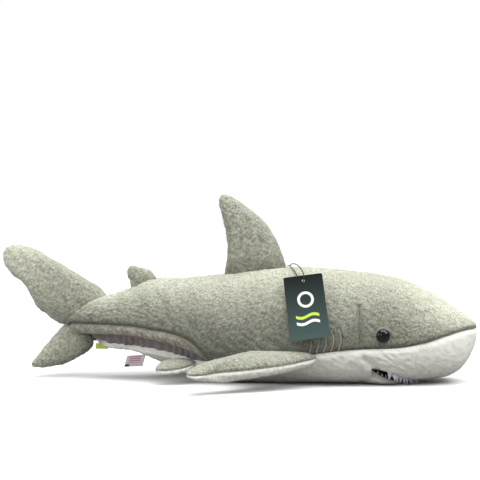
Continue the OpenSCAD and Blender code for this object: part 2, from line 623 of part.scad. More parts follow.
second_x = -143;
second_edge = sized(SECOND, second_len, second_h);
second_mid = [0.25 * second_len, 0.4 * second_h];
function second_place() = function (a, b, h) on_back(second_x, a, b, h);
module second_dorsal_panel_right() {
    color(GREY) fin_panel(second_edge, second_mid, second_t, -1, second_place(), true);
}
module second_dorsal_panel_left() {
    color(GREY) fin_panel(second_edge, second_mid, second_t, 1, second_place(), false);
}
module second_dorsal_stuffing() {
    color(FILL) fin_fill(second_edge, second_mid, second_t, second_place(), false);
}

// The lobes of the tail hang on the end of the body, which they keep clear of
upper_lobe_h = 108;
upper_edge = sized(UPPER_LOBE, upper_lobe_len, upper_lobe_h);
upper_mid = [0.56 * upper_lobe_len, 0.53 * upper_lobe_h];
function upper_place() = function (a, b, h) [tail_seam_x + 51 - a, h, 72 + b];
module tail_upper_panel_right() {
    color(GREY) fin_panel(upper_edge, upper_mid, upper_lobe_t, -1, upper_place(), false);
}
module tail_upper_panel_left() {
    color(GREY) fin_panel(upper_edge, upper_mid, upper_lobe_t, 1, upper_place(), true);
}
module tail_upper_stuffing() {
    color(FILL) fin_fill(upper_edge, upper_mid, upper_lobe_t, upper_place(), true);
}

lower_lobe_h = 54;
lower_edge = sized(LOWER_LOBE, lower_lobe_len, lower_lobe_h);
lower_mid = [0.45 * lower_lobe_len, 0.5 * lower_lobe_h];
function lower_place() = function (a, b, h) [tail_seam_x + 36 - a, h, 14 + b];
module tail_lower_panel_right() {
    color(GREY) fin_panel(lower_edge, lower_mid, lower_lobe_t, -1, lower_place(), false);
}
module tail_lower_panel_left() {
    color(GREY) fin_panel(lower_edge, lower_mid, lower_lobe_t, 1, lower_place(), true);
}
module tail_lower_stuffing() {
    color(FILL) fin_fill(lower_edge, lower_mid, lower_lobe_t, lower_place(), true);
}

// Side fins droop from the flank to the floor; side is 1 on the right, -1 on the left
pectoral_x = -50;
pectoral_root_z = 38;
pectoral_tip_z = 26;
pectoral_root_y = trunk_w / 2 + body_gap;
pectoral_edge = sized(PECTORAL, pectoral_len, pectoral_span);
pectoral_mid = [0.46 * pectoral_len, 0.4 * pectoral_span];
function pectoral_place(side) = function (a, b, h)
    let (out = b / pectoral_span)
    [pectoral_x + a, -side * (pectoral_root_y + b),
        pectoral_tip_z + (pectoral_root_z - pectoral_tip_z) * (1 - out) ^ 1.25
        + h * min(1, 1.25 - 0.6 * out)];
module pectoral_top_right() {
    color(GREY) fin_panel(pectoral_edge, pectoral_mid, pectoral_t, 1, pectoral_place(1), true);
}
module pectoral_bottom_right() {
    color(WHITE) fin_panel(pectoral_edge, pectoral_mid, pectoral_t, -1, pectoral_place(1), false);
}
module pectoral_stuffing_right() {
    color(FILL) fin_fill(pectoral_edge, pectoral_mid, pectoral_t, pectoral_place(1), true);
}
module pectoral_top_left() {
    color(GREY) fin_panel(pectoral_edge, pectoral_mid, pectoral_t, 1, pectoral_place(-1), false);
}
module pectoral_bottom_left() {
    color(WHITE) fin_panel(pectoral_edge, pectoral_mid, pectoral_t, -1, pectoral_place(-1), true);
}
module pectoral_stuffing_left() {
    color(FILL) fin_fill(pectoral_edge, pectoral_mid, pectoral_t, pectoral_place(-1), false);
}

// The rear end of the fins' seams, as a place along the body and as a share of its half width
pelvic_s = 0.23818;
pelvic_out = 0.6528;
pelvic_x = x_at(pelvic_s);
pelvic_root_z = 26;
pelvic_tip_z = 16;
pelvic_root_y = pelvic_out * trunk_w / 2;
pelvic_edge = sized(PELVIC, pelvic_len, pelvic_span);
pelvic_mid = [0.48 * pelvic_len, 0.36 * pelvic_span];
function pelvic_place(side) = function (a, b, h)
    [pelvic_x + a, -side * (pelvic_root_y + b),
        pelvic_root_z + (pelvic_tip_z - pelvic_root_z) * b / pelvic_span + h];
module pelvic_top_right() {
    color(GREY) fin_panel(pelvic_edge, pelvic_mid, pelvic_t, 1, pelvic_place(1), true);
}
module pelvic_bottom_right() {
    color(WHITE) fin_panel(pelvic_edge, pelvic_mid, pelvic_t, -1, pelvic_place(1), false);
}
module pelvic_stuffing_right() {
    color(FILL) fin_fill(pelvic_edge, pelvic_mid, pelvic_t, pelvic_place(1), true);
}
module pelvic_top_left() {
    color(GREY) fin_panel(pelvic_edge, pelvic_mid, pelvic_t, 1, pelvic_place(-1), false);
}
module pelvic_bottom_left() {
    color(WHITE) fin_panel(pelvic_edge, pelvic_mid, pelvic_t, -1, pelvic_place(-1), true);
}
module pelvic_stuffing_left() {
    color(FILL) fin_fill(pelvic_edge, pelvic_mid, pelvic_t, pelvic_place(-1), false);
}

// ---------------------------------------------------------------- label and tag
label_t = 0.6;
label_s = 0.176;
module care_label() {
    front = x_at(label_s) + label_w / 2;
    color(WHITE) translate([front - label_w, -14, bottom(s_at(front)) - 1 - label_h])
        cube([label_w, label_t, label_h]);
}

// The tag leans on the bulge of the flank
tag_lean = 19;
tag_turn = 8;
tag_centre = [96, -trunk_w / 2 + 1, 103];
// Height of the top edge above the centre of the lean
tag_top = 44.45;
// How far the hole lies below the top edge of the tag
tag_hole_in = 7.4;
module tag_card() {
    color(CARD) translate(tag_centre) rotate([90 - tag_lean, 0, 0]) rotate([0, 0, tag_turn])
        difference() {
            translate([-tag_w / 2, tag_top - tag_h, 0]) linear_extrude(tag_t) square([tag_w, tag_h]);
            translate([0, tag_top - tag_hole_in, -1])
                cylinder(d = tag_hole_d, h = 4, $fn = 32);
        }
}

STRING = [[70, -1, 152.6], [73, -8, 156], [79, -24, 157], [86, -44, 154], [91, -58, 147],
    [91.5, -63, 141.5], [91, -59.2, 137.6], [89, -54, 136.5], [84, -46, 141], [76, -26, 150],
    [70, -10, 154], [67, -3, 152.8]];
module tag_string() {
    color(BLACK) tube(route(STRING, 3), string_d, 8);
}

back_cover_right();
back_cover_left();
snout_underside_right();
snout_underside_left();
belly_cover();
opening_hem();
trunk_stuffing();
head_stuffing();
hand_lining();
palate_lining();
upper_teeth();
eye_right();
eye_left();
eye_washer_right();
eye_washer_left();
gill_stitches_right();
gill_stitches_left();
seam_tab();
jaw_cover();
jaw_pad();
jaw_lining();
lower_teeth();
pectoral_top_right();
pectoral_bottom_right();
pectoral_stuffing_right();
pectoral_top_left();
pectoral_bottom_left();
pectoral_stuffing_left();
dorsal_panel_right();
dorsal_panel_left();
dorsal_stuffing();
second_dorsal_panel_right();
second_dorsal_panel_left();
second_dorsal_stuffing();
tail_upper_panel_right();
tail_upper_panel_left();
tail_upper_stuffing();
tail_lower_panel_right();
tail_lower_panel_left();
tail_lower_stuffing();
pelvic_top_right();
pelvic_bottom_right();
pelvic_stuffing_right();
pelvic_top_left();
pelvic_bottom_left();
pelvic_stuffing_left();
care_label();
tag_card();
tag_string();
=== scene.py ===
# %% [markdown]
# # A plush shark with a glove pocket
# The real toy is sewn from short-pile plush, stuffed with fibre, and closed by hand.
# The frame below holds its working bodies: trunk, jaw, fins, label and hang tag.
# Every piece made here is cloth, thread, felt, plastic or card that sits on that frame.

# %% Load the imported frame
import math
import bpy
import numpy as np
from mathutils import Matrix, Vector


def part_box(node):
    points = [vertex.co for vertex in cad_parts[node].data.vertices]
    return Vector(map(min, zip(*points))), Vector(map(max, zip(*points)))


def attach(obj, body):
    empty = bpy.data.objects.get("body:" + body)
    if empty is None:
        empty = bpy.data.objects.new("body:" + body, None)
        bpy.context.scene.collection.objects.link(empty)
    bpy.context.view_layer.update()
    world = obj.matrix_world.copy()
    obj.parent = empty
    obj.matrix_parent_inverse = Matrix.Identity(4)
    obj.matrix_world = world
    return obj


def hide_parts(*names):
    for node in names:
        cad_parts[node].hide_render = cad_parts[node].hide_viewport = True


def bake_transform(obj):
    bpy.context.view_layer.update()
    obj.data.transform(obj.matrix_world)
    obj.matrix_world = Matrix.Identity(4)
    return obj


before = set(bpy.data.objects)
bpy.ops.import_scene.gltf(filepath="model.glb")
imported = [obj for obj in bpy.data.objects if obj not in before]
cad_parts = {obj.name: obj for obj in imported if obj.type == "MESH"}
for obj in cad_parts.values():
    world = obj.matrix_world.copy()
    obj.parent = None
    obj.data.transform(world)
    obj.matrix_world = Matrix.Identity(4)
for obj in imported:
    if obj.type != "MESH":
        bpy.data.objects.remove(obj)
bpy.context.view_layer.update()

MM = 0.001

# %% [markdown]
# The camera stands a little over two metres away with a long lens, as for a shop picture.
# It is turned slightly toward the nose and looks down by a few degrees.
# A plain target point and an angle are easier to reason about than a typed rotation.

# %% Camera
TARGET = Vector((0.0035, 0, 0.187))
DISTANCE, TURN, LIFT = 2.2, 5.0, 3.4
turn, lift = math.radians(TURN), math.radians(LIFT)
back = Vector((math.sin(turn) * math.cos(lift), -math.cos(turn) * math.cos(lift), math.sin(lift)))
lens = bpy.data.cameras.new("long_lens")
lens.lens, lens.sensor_width = 123.8, 36
camera = bpy.data.objects.new("camera", lens)
bpy.context.scene.collection.objects.link(camera)
camera.location = TARGET + back * DISTANCE
camera.rotation_euler = (-back).to_track_quat("-Z", "Y").to_euler()
bpy.context.scene.camera = camera
print("camera at", [round(v, 3) for v in camera.location])

# %% [markdown]
# The string of the hang tag is the only free cord: a limp loop that comes out of the back
# seam, passes over the shoulder and through the hole of the tag, and goes back into the seam.
# Its route repeats the route points of the CAD part, read through a smooth spline.

# %% The route of the string
STRING_POINTS = [(70, -1, 152.6), (73, -8, 156), (79, -24, 157), (86, -44, 154), (91, -58, 147),
                 (91.5, -63, 141.5), (91, -59.2, 137.6), (89, -54, 136.5), (84, -46, 141),
                 (76, -26, 150), (70, -10, 154), (67, -3, 152.8)]
STRING_D = 1.4


def spline(a, b, c, d, t):
    return 0.5 * (2 * b + (c - a) * t + (2 * a - 5 * b + 4 * c - d) * t**2
                  + (3 * b - a - 3 * c + d) * t**3)


def route(points, steps):
    """A smooth open line through its points."""
    p, last = np.array(points, float), len(points) - 1
    line = [spline(p[max(0, i - 1)], p[i], p[i + 1], p[min(last, i + 2)], j / steps)
            for i in range(last) for j in range(steps)]
    return np.array(line + [p[last]])


string_line = route(STRING_POINTS, 3)

# %% [markdown]
# The body of the toy follows a few curves: how high the back is, how low the belly is and how
# wide the body is, from the tail seam (0) to the nose (1). They are the ones of the CAD part,
# as shares of its size, so the cloth lies exactly on the solid that the joints move.

# %% Curves of the body
BACK = [[0, .515], [.009, .565], [.024, .625], [.044, .68], [.08, .725], [.11, .745],
        [.165, .812], [.21, .878], [.28, .897], [.39, .932], [.56, 1], [.73, .954],
        [.81, .903], [.876, .806], [.92, .715], [.97, .592], [.99, .54], [1, .5]]
BELLY = [[0, .495], [.009, .455], [.024, .41], [.045, .375], [.08, .31], [.12, .275],
         [.165, .26], [.23, .18], [.33, .085], [.41, 0], [.742, 0], [.8, .013],
         [.876, .034], [.923, .063], [.947, .1], [.965, .15], [.982, .24], [.993, .34], [1, .46]]
GIRTH = [[0, .06], [.009, .13], [.024, .2], [.045, .27], [.08, .36], [.165, .54],
         [.23, .68], [.33, .85], [.43, .95], [.54, 1], [.65, .985], [.74, .93],
         [.81, .88], [.876, .79], [.923, .68], [.955, .54], [.98, .35], [.993, .19], [1, .05]]
WAIST = [[0, .505], [.045, .52], [.11, .5], [.23, .48], [.41, .42], [.74, .4],
         [.92, .39], [.965, .4], [.99, .44], [1, .48]]
COLOUR_SEAM = [[0, .2], [.05, .25], [.08, .33], [.15, .335], [.23, .26], [.33, .19],
               [.42, .185], [.5, .21], [.58, .262], [.64, .298], [.72, .328], [.81, .34],
               [.876, .382], [.923, .435], [.97, .479], [1, .489]]
HEM_SEAM = [[0, .45], [.02, .485], [.085, .49], [.165, .488], [.215, .463],
            [.28, .428], [.32, .37], [.35, .265], [.37, .2]]
HEM_EDGE = [[0, .43], [.045, .397], [.15, .397], [.215, .375], [.28, .322],
            [.33, .256], [.37, .185]]
BELLY_EDGE = [[.01, .37], [.04, .335], [.08, .304], [.15, .284], [.215, .272], [.28, .23], [.33, .18],
              [.37, .165]]
LIP = [[.742, .15], [.752, .146], [.796, .106], [.831, .056], [.858, .037], [.876, .03], [.9, 0]]
TRUNK_LEN, TRUNK_H, TRUNK_W, TAIL_X = 550, 151, 144, -232
HEM_S, MOUTH_S, MOUTH_END_S = 0.365, 0.742, 0.868
ROUND_UP, ROUND_DOWN = 2.2, 2.5


def curve(points, s):
    """Reads a curve anywhere, smoothly and without overshoot."""
    x, y = np.array(points, float).T
    h = np.diff(x)
    r = np.diff(y) / h
    m = np.concatenate([r[:1], np.zeros(len(r) - 1), r[-1:]])
    for i in range(1, len(r)):
        if r[i - 1] * r[i] > 0:
            m[i] = 2 * r[i - 1] * r[i] / (r[i - 1] + r[i])
    s = np.asarray(s, float)
    i = np.clip(np.searchsorted(x, s, side="right") - 1, 0, len(h) - 1)
    t = np.clip((s - x[i]) / h[i], 0, 1)
    return ((2 * t**3 - 3 * t**2 + 1) * y[i] + (t**3 - 2 * t**2 + t) * h[i] * m[i]
            + (3 * t**2 - 2 * t**3) * y[i + 1] + (t**3 - t**2) * h[i] * m[i + 1])


def x_at(s):
    return TAIL_X + TRUNK_LEN * np.asarray(s, float)


def s_at(x):
    return (x - TAIL_X) / TRUNK_LEN


def skin(s, a, deep=0.0):
    """Point of the body at station s, a degrees from the top round by the right side."""
    s, a, deep = np.broadcast_arrays(np.asarray(s, float), np.asarray(a, float), deep)
    c, w = np.cos(np.radians(a)), np.sin(np.radians(a))
    high, low, mid = (TRUNK_H * curve(p, s) for p in (BACK, BELLY, WAIST))
    n = np.where(c >= 0, ROUND_UP, ROUND_DOWN)
    tall = np.where(c >= 0, high - mid, mid - low)
    half = TRUNK_W / 2 * curve(GIRTH, s)
    z = mid + np.sign(c) * (tall - np.minimum(deep, 0.6 * tall)) * np.abs(c) ** (2 / n)
    y = -np.sign(w) * np.maximum(half - deep, 0.4 * half) * np.abs(w) ** (2 / n)
    z = np.maximum(z, np.where(low < 1, deep, 0))
    return np.stack([x_at(s) - (s - 0.5) * 2 * deep, y, np.maximum(z, 0.3)], -1)


def turn_at(s, z):
    """Angle round the body at which the skin has height z, on the right side."""
    high, low, mid = (TRUNK_H * curve(p, s) for p in (BACK, BELLY, WAIST))
    up = np.clip((z - mid) / (high - mid), 0, 1) ** (ROUND_UP / 2)
    down = np.clip((mid - z) / (mid - low), 0, 1) ** (ROUND_DOWN / 2)
    return np.degrees(np.where(z >= mid, np.arccos(up), np.arccos(-down)))


def at_curve(points, s):
    low = TRUNK_H * curve(BELLY, s)
    return turn_at(s, np.maximum(low, TRUNK_H * curve(points, s)))


print("girth at the middle", round(2 * float(TRUNK_W / 2 * curve(GIRTH, 0.54))), "mm")

# %% [markdown]
# Short pile lies in clumps: a few millimetres of fibres lean together. A lattice noise that is
# stretched along the way the pile lies gives that clump pattern. It moves the mesh itself and is
# also kept as an attribute for the material, which colours low pile dark and high pile light:
# partly the streaky tone of the cloth, partly painted shade at the roots between the clumps.

# %% Noise on a lattice
def lattice(p, seed):
    """Smooth random values from 0 to 1 at points p, the same on every run."""
    cell = np.floor(p).astype(np.int64)
    f = p - cell
    f = f * f * (3 - 2 * f)
    out = np.zeros(len(p))
    for corner in range(8):
        o = np.array([corner & 1, corner >> 1 & 1, corner >> 2 & 1])
        k = cell + o
        h = (k[:, 0] * 73856093 ^ k[:, 1] * 19349663 ^ k[:, 2] * 83492791 ^ seed * 40503)
        h = (h & 0xFFFFFFFF) * 2654435761 & 0xFFFFFFFF
        h = (h ^ h >> 15) * 2246822519 & 0xFFFFFFFF
        h ^= h >> 13
        out += np.prod(np.where(o, f, 1 - f), 1) * (h & 0xFFFF) / 65535
    return out


def lay_matrix(along, clump_len=6.0, clump_w=2.0):
    """Turns points in millimetres into noise space, long in the direction of the pile."""
    u = np.array(along, float) / np.linalg.norm(along)
    side = np.cross(u, [0, 1, 0] if abs(u[1]) < 0.9 else [1, 0, 0])
    side /= np.linalg.norm(side)
    return np.stack([u / clump_len, side / clump_w, np.cross(u, side) / clump_w])


def clumps(p, lay, seed=3):
    """Height of the pile from 0 at the roots to 1 at the tips."""
    q = p @ lay.T
    mix = 0.6 * lattice(q, seed) + 0.4 * lattice(q * 1.7 + 7.3, seed + 1)
    return np.clip((mix - 0.5) * 1.8 + 0.5, 0, 1)


LAY_BODY = lay_matrix((0.74, 0, -0.67))
sample = np.random.default_rng(1).random((500, 3)) * 99
print("noise mean", round(float(clumps(sample, LAY_BODY).mean()), 3))

# %% [markdown]
# The stuffed parts are cut as flat panels and sewn round the edge, so they are closed pillows.
# Each starts as two crowned sides that share a rim, then a cloth simulation with air pressure
# inside swells it the way fibre filling does. All of them are simulated in the same 20 steps.
# An outline is let out by a seam ease, since the sewn rim is pressed in again afterwards.
# The trunk is simulated too, pinned at its seams, so that it puffs between them.

# %% Helpers for meshes
def new_object(name, verts, faces, scale=MM):
    mesh = bpy.data.meshes.new(name)
    mesh.from_pydata([tuple(v) for v in np.asarray(verts) * scale], [], [tuple(f) for f in faces])
    mesh.validate()
    mesh.update()
    obj = bpy.data.objects.new(name, mesh)
    bpy.context.scene.collection.objects.link(obj)
    return obj


def grid_faces(rows, cols, flip=False, start=0):
    i, j = np.meshgrid(np.arange(rows - 1), np.arange(cols - 1), indexing="ij")
    a = start + (i * cols + j).ravel()
    quads = np.stack([a, a + 1, a + cols + 1, a + cols], 1)
    return quads[:, ::-1] if flip else quads


def points_of(mesh):
    co = np.empty(len(mesh.vertices) * 3)
    mesh.vertices.foreach_get("co", co)
    return co.reshape(-1, 3) / MM


def set_points(mesh, p):
    mesh.vertices.foreach_set("co", (np.asarray(p) * MM).ravel())
    mesh.update()


def normals_of(mesh):
    n = np.empty(len(mesh.vertices) * 3)
    mesh.vertex_normals.foreach_get("vector", n)
    return n.reshape(-1, 3)


def applied(obj):
    """The object's mesh with its modifiers in it."""
    graph = bpy.context.evaluated_depsgraph_get()
    mesh = bpy.data.meshes.new_from_object(obj.evaluated_get(graph))
    obj.modifiers.clear()
    obj.data = mesh
    return obj


def smooth(obj):
    obj.data.polygons.foreach_set("use_smooth", [True] * len(obj.data.polygons))


# %% The crowned pillow that a fin starts as
DORSAL = [[1, -.06], [.93, .2], [.78, .42], [.6, .61], [.35, .79], [.13, .93],
          [-.04, .985], [-.115, .93], [-.09, .785], [-.045, .59], [-.01, .387], [0, .18],
          [0, -.1], [.35, -.1], [.7, -.1]]
SECOND = [[1, -.2], [.72, .35], [.4, .62], [.05, .95], [-.14, .92], [-.16, .6],
          [-.02, .28], [.05, -.2], [.5, -.2]]
UPPER_LOBE = [[-.08, .22], [.02, .43], [.17, .56], [.29, .66], [.43, .77], [.56, .86], [.67, .925],
              [.79, .97], [.9, .98], [.97, .92], [.975, .8], [.93, .69], [.86, .59],
              [.785, .49], [.715, .36], [.65, .23], [.55, .13], [.46, .04], [.36, .0],
              [.26, .04], [.1, .16]]
LOWER_LOBE = [[.49, .97], [.7, .6], [.91, .2], [.98, .06], [.92, .01], [.68, .05],
              [.45, .13], [.27, .27], [.1, .42], [.01, .55], [.02, .75], [.15, .95],
              [.3, 1.05], [.42, 1.06]]
PECTORAL = [[1, -.02], [.9, .15], [.8, .3], [.62, .49], [.42, .67], [.22, .83],
            [.13, .96], [.04, 1.], [-.01, .9], [.01, .74], [.14, .54], [.3, .3], [.42, .06],
            [.48, -.08], [.75, -.1], [.94, -.1]]
PELVIC = [[1, -.12], [.88, .35], [.55, .78], [.16, .98], [0, .84], [.02, .42], [.2, -.1], [.65, -.2]]


def outline(points, a, b, ease, steps=3):
    """A smooth closed outline in millimetres, let out all round by the seam ease."""
    p = np.array(points, float) * (a, b)
    k = len(p)
    edge = np.array([spline(p[i - 1], p[i], p[(i + 1) % k], p[(i + 2) % k], j / steps)
                     for i in range(k) for j in range(steps)])
    along = np.roll(edge, -1, 0) - np.roll(edge, 1, 0)
    out = np.stack([along[:, 1], -along[:, 0]], 1) / np.linalg.norm(along, axis=1)[:, None]
    turning = np.sum(edge[:, 0] * np.roll(edge[:, 1], -1) - np.roll(edge[:, 0], -1) * edge[:, 1])
    return edge + out * ease * np.sign(turning)


def pillow(name, edge, mid, thick, rings=7):
    """A closed pillow in the fin's own plane: a and b along it, h across it."""
    n = len(edge)
    verts, faces = [], []
    for side in (1, -1):
        for k in range(1, rings + (side == 1)):
            r = math.sin(math.pi / 2 * k / rings)
            high = thick / 2 * (1 - r**3.2) ** 0.55
            q = mid + (edge - mid) * r
            verts += [(x, y, side * high) for x, y in q]
    top, low = len(verts), len(verts) + 1
    verts += [(mid[0], mid[1], thick / 2), (mid[0], mid[1], -thick / 2)]

    def ring(k, j, side):
        j %= n
        return k * n + j if side == 1 or k == rings - 1 else rings * n + k * n + j

    for j in range(n):
        faces += [(top, ring(0, j, 1), ring(0, j + 1, 1)), (low, ring(0, j + 1, -1), ring(0, j, -1))]
        for k in range(rings - 1):
            faces.append((ring(k, j, 1), ring(k + 1, j, 1), ring(k + 1, j + 1, 1), ring(k, j + 1, 1)))
            faces.append((ring(k, j, -1), ring(k, j + 1, -1), ring(k + 1, j + 1, -1),
                          ring(k + 1, j, -1)))
    obj = new_object(name, verts, faces)
    area = 0.5 * np.sum(edge[:, 0] * np.roll(edge[:, 1], -1) - np.roll(edge[:, 0], -1) * edge[:, 1])
    if area < 0:
        obj.data.flip_normals()
    mod = obj.modifiers.new("even_faces", "REMESH")
    mod.mode, mod.voxel_size = "VOXEL", VOXEL * MM
    applied(obj)
    return obj


VOXEL = 3.6
FIN_SIZES = {  # outline, length, height, centre as shares, thickness, how far it may swell, ease
    "dorsal": (DORSAL, 79, 107, (.32, .36), 25, 4, 0.8),
    "second_dorsal": (SECOND, 36, 29, (.3, .36), 13, 2, 0.8),
    "tail_upper": (UPPER_LOBE, 138, 108, (.5, .5), 25, 4, 3.2),
    "tail_lower": (LOWER_LOBE, 84, 54, (.42, .55), 17, 3, 3.0),
    "pectoral": (PECTORAL, 158, 84, (.5, .38), 25, 4, 1.0),
    "pelvic": (PELVIC, 50, 24, (.48, .3), 14, 2, 1.0),
}
forms = {}
for name, (shape, a, b, mid, thick, cap, ease) in FIN_SIZES.items():
    edge = outline(shape, a, b, ease)
    forms[name] = pillow(name + "_form", edge, np.array(mid) * (a, b), thick)
    print(name, len(forms[name].data.vertices), "points")

# %% The trunk as a closed form, pinned along its seams
FORM_S = np.concatenate([[0.0], np.linspace(0.012, 0.99, 88), [1.0]])
FORM_A = np.arange(72) * 5.0


def trunk_form():
    rest = skin(FORM_S[:, None], FORM_A[None, :], 1.0)
    rows, cols = rest.shape[:2]
    verts = rest.reshape(-1, 3)
    faces = []
    for i in range(rows - 1):
        for j in range(cols):
            k = (j + 1) % cols
            faces.append((i * cols + j, i * cols + k, (i + 1) * cols + k, (i + 1) * cols + j))
    n = len(verts)
    verts = np.vstack([verts, rest[0].mean(0), rest[-1].mean(0)])
    for j in range(cols):
        k = (j + 1) % cols
        faces.append((n, k, j))
        faces.append((n + 1, (rows - 1) * cols + j, (rows - 1) * cols + k))
    obj = new_object("trunk_form", verts, faces)
    seam = at_curve(COLOUR_SEAM, FORM_S)[:, None]
    a = np.minimum(FORM_A, 360 - FORM_A)[None, :]
    pinned = (np.abs(a - seam) < 4) | (rest[..., 2] < 4)
    group = obj.vertex_groups.new(name="sewn")
    group.add([int(i) for i in np.flatnonzero(pinned.ravel())] + [n, n + 1], 1.0, "REPLACE")
    return obj, rest


forms["trunk"], trunk_rest = trunk_form()
print("trunk form", len(forms["trunk"].data.vertices), "points")

# %% Cloth simulation of all the stuffed forms
SWELL = {name: size[5] for name, size in FIN_SIZES.items()} | {"trunk": 5}


def swell_all():
    before = {name: points_of(obj.data) for name, obj in forms.items()}
    for name, obj in forms.items():
        mod = obj.modifiers.new("filling", "CLOTH")
        cloth = mod.settings
        cloth.quality, cloth.mass = 5, 0.3
        cloth.use_pressure, cloth.uniform_pressure_force = True, 4.0
        cloth.tension_stiffness = cloth.compression_stiffness = 18
        cloth.bending_stiffness = 1.5
        cloth.effector_weights.gravity = 0
        if name == "trunk":
            cloth.vertex_group_mass = "sewn"
    scene = bpy.context.scene
    for step in range(1, 21):
        scene.frame_set(step)
    graph = bpy.context.evaluated_depsgraph_get()
    for name, obj in forms.items():
        after = points_of(obj.evaluated_get(graph).data)
        move = after - before[name]
        far = np.linalg.norm(move, axis=1, keepdims=True)
        move *= np.minimum(1, SWELL[name] / np.maximum(far, 1e-6))
        obj.modifiers.clear()
        set_points(obj.data, before[name] + move)
        print(name, "swelled by", round(float(np.linalg.norm(move, axis=1).mean()), 2), "mm")
    scene.frame_set(1)


swell_all()
swelled = points_of(forms["trunk"].data)[: trunk_rest.size // 3]
trunk_puff = swelled.reshape(trunk_rest.shape) - trunk_rest
trunk_puff *= np.clip(np.minimum(FORM_S, 1 - FORM_S) / 0.05, 0, 1)[:, None, None]


def puff(s, a):
    """How far the filling moves the skin at station s and angle a."""
    a = np.mod(a, 360) / 5
    i = np.clip(np.searchsorted(FORM_S, s, side="right") - 1, 0, len(FORM_S) - 2)
    f = ((s - FORM_S[i]) / (FORM_S[i + 1] - FORM_S[i]))[..., None]
    j = np.floor(a).astype(int) % 72
    g = (a - np.floor(a))[..., None]
    k = (j + 1) % 72
    return ((1 - f) * ((1 - g) * trunk_puff[i, j] + g * trunk_puff[i, k])
            + f * ((1 - g) * trunk_puff[i + 1, j] + g * trunk_puff[i + 1, k]))


print("trunk puff up to", round(float(np.abs(trunk_puff).max()), 2), "mm")

# %% [markdown]
# Plush, lining cloth, felt, moulded plastic, thread and card each get their own material.
# What several of them share is a shader node group: one makes the streaks of a pile, one the
# weave of a cloth. They put out colours, heights and roughness; the shader stays outside.

# %% Node helpers
def make_group(name, inputs, outputs):
    tree = bpy.data.node_groups.new(name, "ShaderNodeTree")
    for label, kind, value in inputs:
        sock = tree.interface.new_socket(label, in_out="INPUT", socket_type=kind)
        if value is not None:
            sock.default_value = value
    for label, kind in outputs:
        tree.interface.new_socket(label, in_out="OUTPUT", socket_type=kind)
    return tree, tree.nodes.new("NodeGroupInput").outputs, tree.nodes.new("NodeGroupOutput").inputs


def node(tree, kind, links=None, **values):
    """A node with its settings; links maps an input's name or number to a socket or a value."""
    made = tree.nodes.new(kind)
    for key, value in values.items():
        setattr(made, key, value)
    for key, value in (links or {}).items():
        if isinstance(value, bpy.types.NodeSocket):
            tree.links.new(value, made.inputs[key])
        else:
            made.inputs[key].default_value = value
    return made


def srgb(r, g, b):
    """A colour as a painter reads it, 0 to 255, as the light values that a shader wants."""
    return tuple((c / 255 / 12.92 if c <= 10 else ((c / 255 + 0.055) / 1.055) ** 2.4)
                 for c in (r, g, b)) + (1.0,)


def blend_colours(tree, fac, a, b, mode="MIX"):
    return node(tree, "ShaderNodeMix", {0: fac, 6: a, 7: b}, data_type="RGBA",
                blend_type=mode).outputs[2]


# %% Group: streaks of a pile
COLOUR, FLOAT = "NodeSocketColor", "NodeSocketFloat"
pile_group, pin, pout = make_group(
    "pile_streaks",
    [("Root", COLOUR, None), ("Middle", COLOUR, None), ("Tip", COLOUR, None),
     ("Tilt", FLOAT, 0.74), ("Streak", FLOAT, 0.5), ("Patches", FLOAT, 0.15)],
    [("Color", COLOUR), ("Height", FLOAT), ("Roughness", FLOAT)])
coords = node(pile_group, "ShaderNodeTexCoord").outputs["Object"]
turned = node(pile_group, "ShaderNodeVectorRotate", {"Vector": coords, "Angle": pin["Tilt"]},
              rotation_type="Y_AXIS").outputs[0]
long_way = node(pile_group, "ShaderNodeMapping", {"Vector": turned, "Scale": (190, 620, 760)})
fine = node(pile_group, "ShaderNodeTexNoise", {"Vector": long_way.outputs[0], "Scale": 1.0,
                                               "Detail": 2.5, "Roughness": 0.55}).outputs[0]
hairs = node(pile_group, "ShaderNodeMapping", {"Vector": turned, "Scale": (300, 1500, 1500)})
hair = node(pile_group, "ShaderNodeTexNoise", {"Vector": hairs.outputs[0], "Scale": 1.0,
                                               "Detail": 1.0}).outputs[0]
wide = node(pile_group, "ShaderNodeTexNoise", {"Vector": coords, "Scale": 26.0,
                                               "Detail": 2.0}).outputs[0]
lift_attr = node(pile_group, "ShaderNodeAttribute", attribute_name="pile").outputs["Fac"]
streak = node(pile_group, "ShaderNodeMapRange", {0: fine, 1: 0.33, 2: 0.67}).outputs[0]
mixed = node(pile_group, "ShaderNodeMix", {0: pin["Streak"], 2: lift_attr, 3: streak},
             data_type="FLOAT").outputs[0]
haired = node(pile_group, "ShaderNodeMath", {0: hair, 1: 0.5, 2: mixed},
              operation="MULTIPLY_ADD").outputs[0]
height = node(pile_group, "ShaderNodeMath", {0: haired, 1: 0.25}, operation="SUBTRACT",
              use_clamp=True).outputs[0]
low_half = node(pile_group, "ShaderNodeMapRange", {0: height, 1: 0.0, 2: 0.5}).outputs[0]
high_half = node(pile_group, "ShaderNodeMapRange", {0: height, 1: 0.5, 2: 1.0}).outputs[0]
# Partly painted shade: low pile takes the dark root colour, high pile the light tip colour.
root_mid = blend_colours(pile_group, low_half, pin["Root"], pin["Middle"])
full = blend_colours(pile_group, high_half, root_mid, pin["Tip"])
patch = node(pile_group, "ShaderNodeMapRange", {0: wide, 1: 0.35, 2: 0.7, 3: 0.0,
                                                4: pin["Patches"]}).outputs[0]
pile_group.links.new(blend_colours(pile_group, patch, full, pin["Root"]), pout["Color"])
pile_group.links.new(height, pout["Height"])
pile_group.links.new(node(pile_group, "ShaderNodeMapRange", {0: height, 3: 0.98, 4: 0.8}).outputs[0],
                     pout["Roughness"])

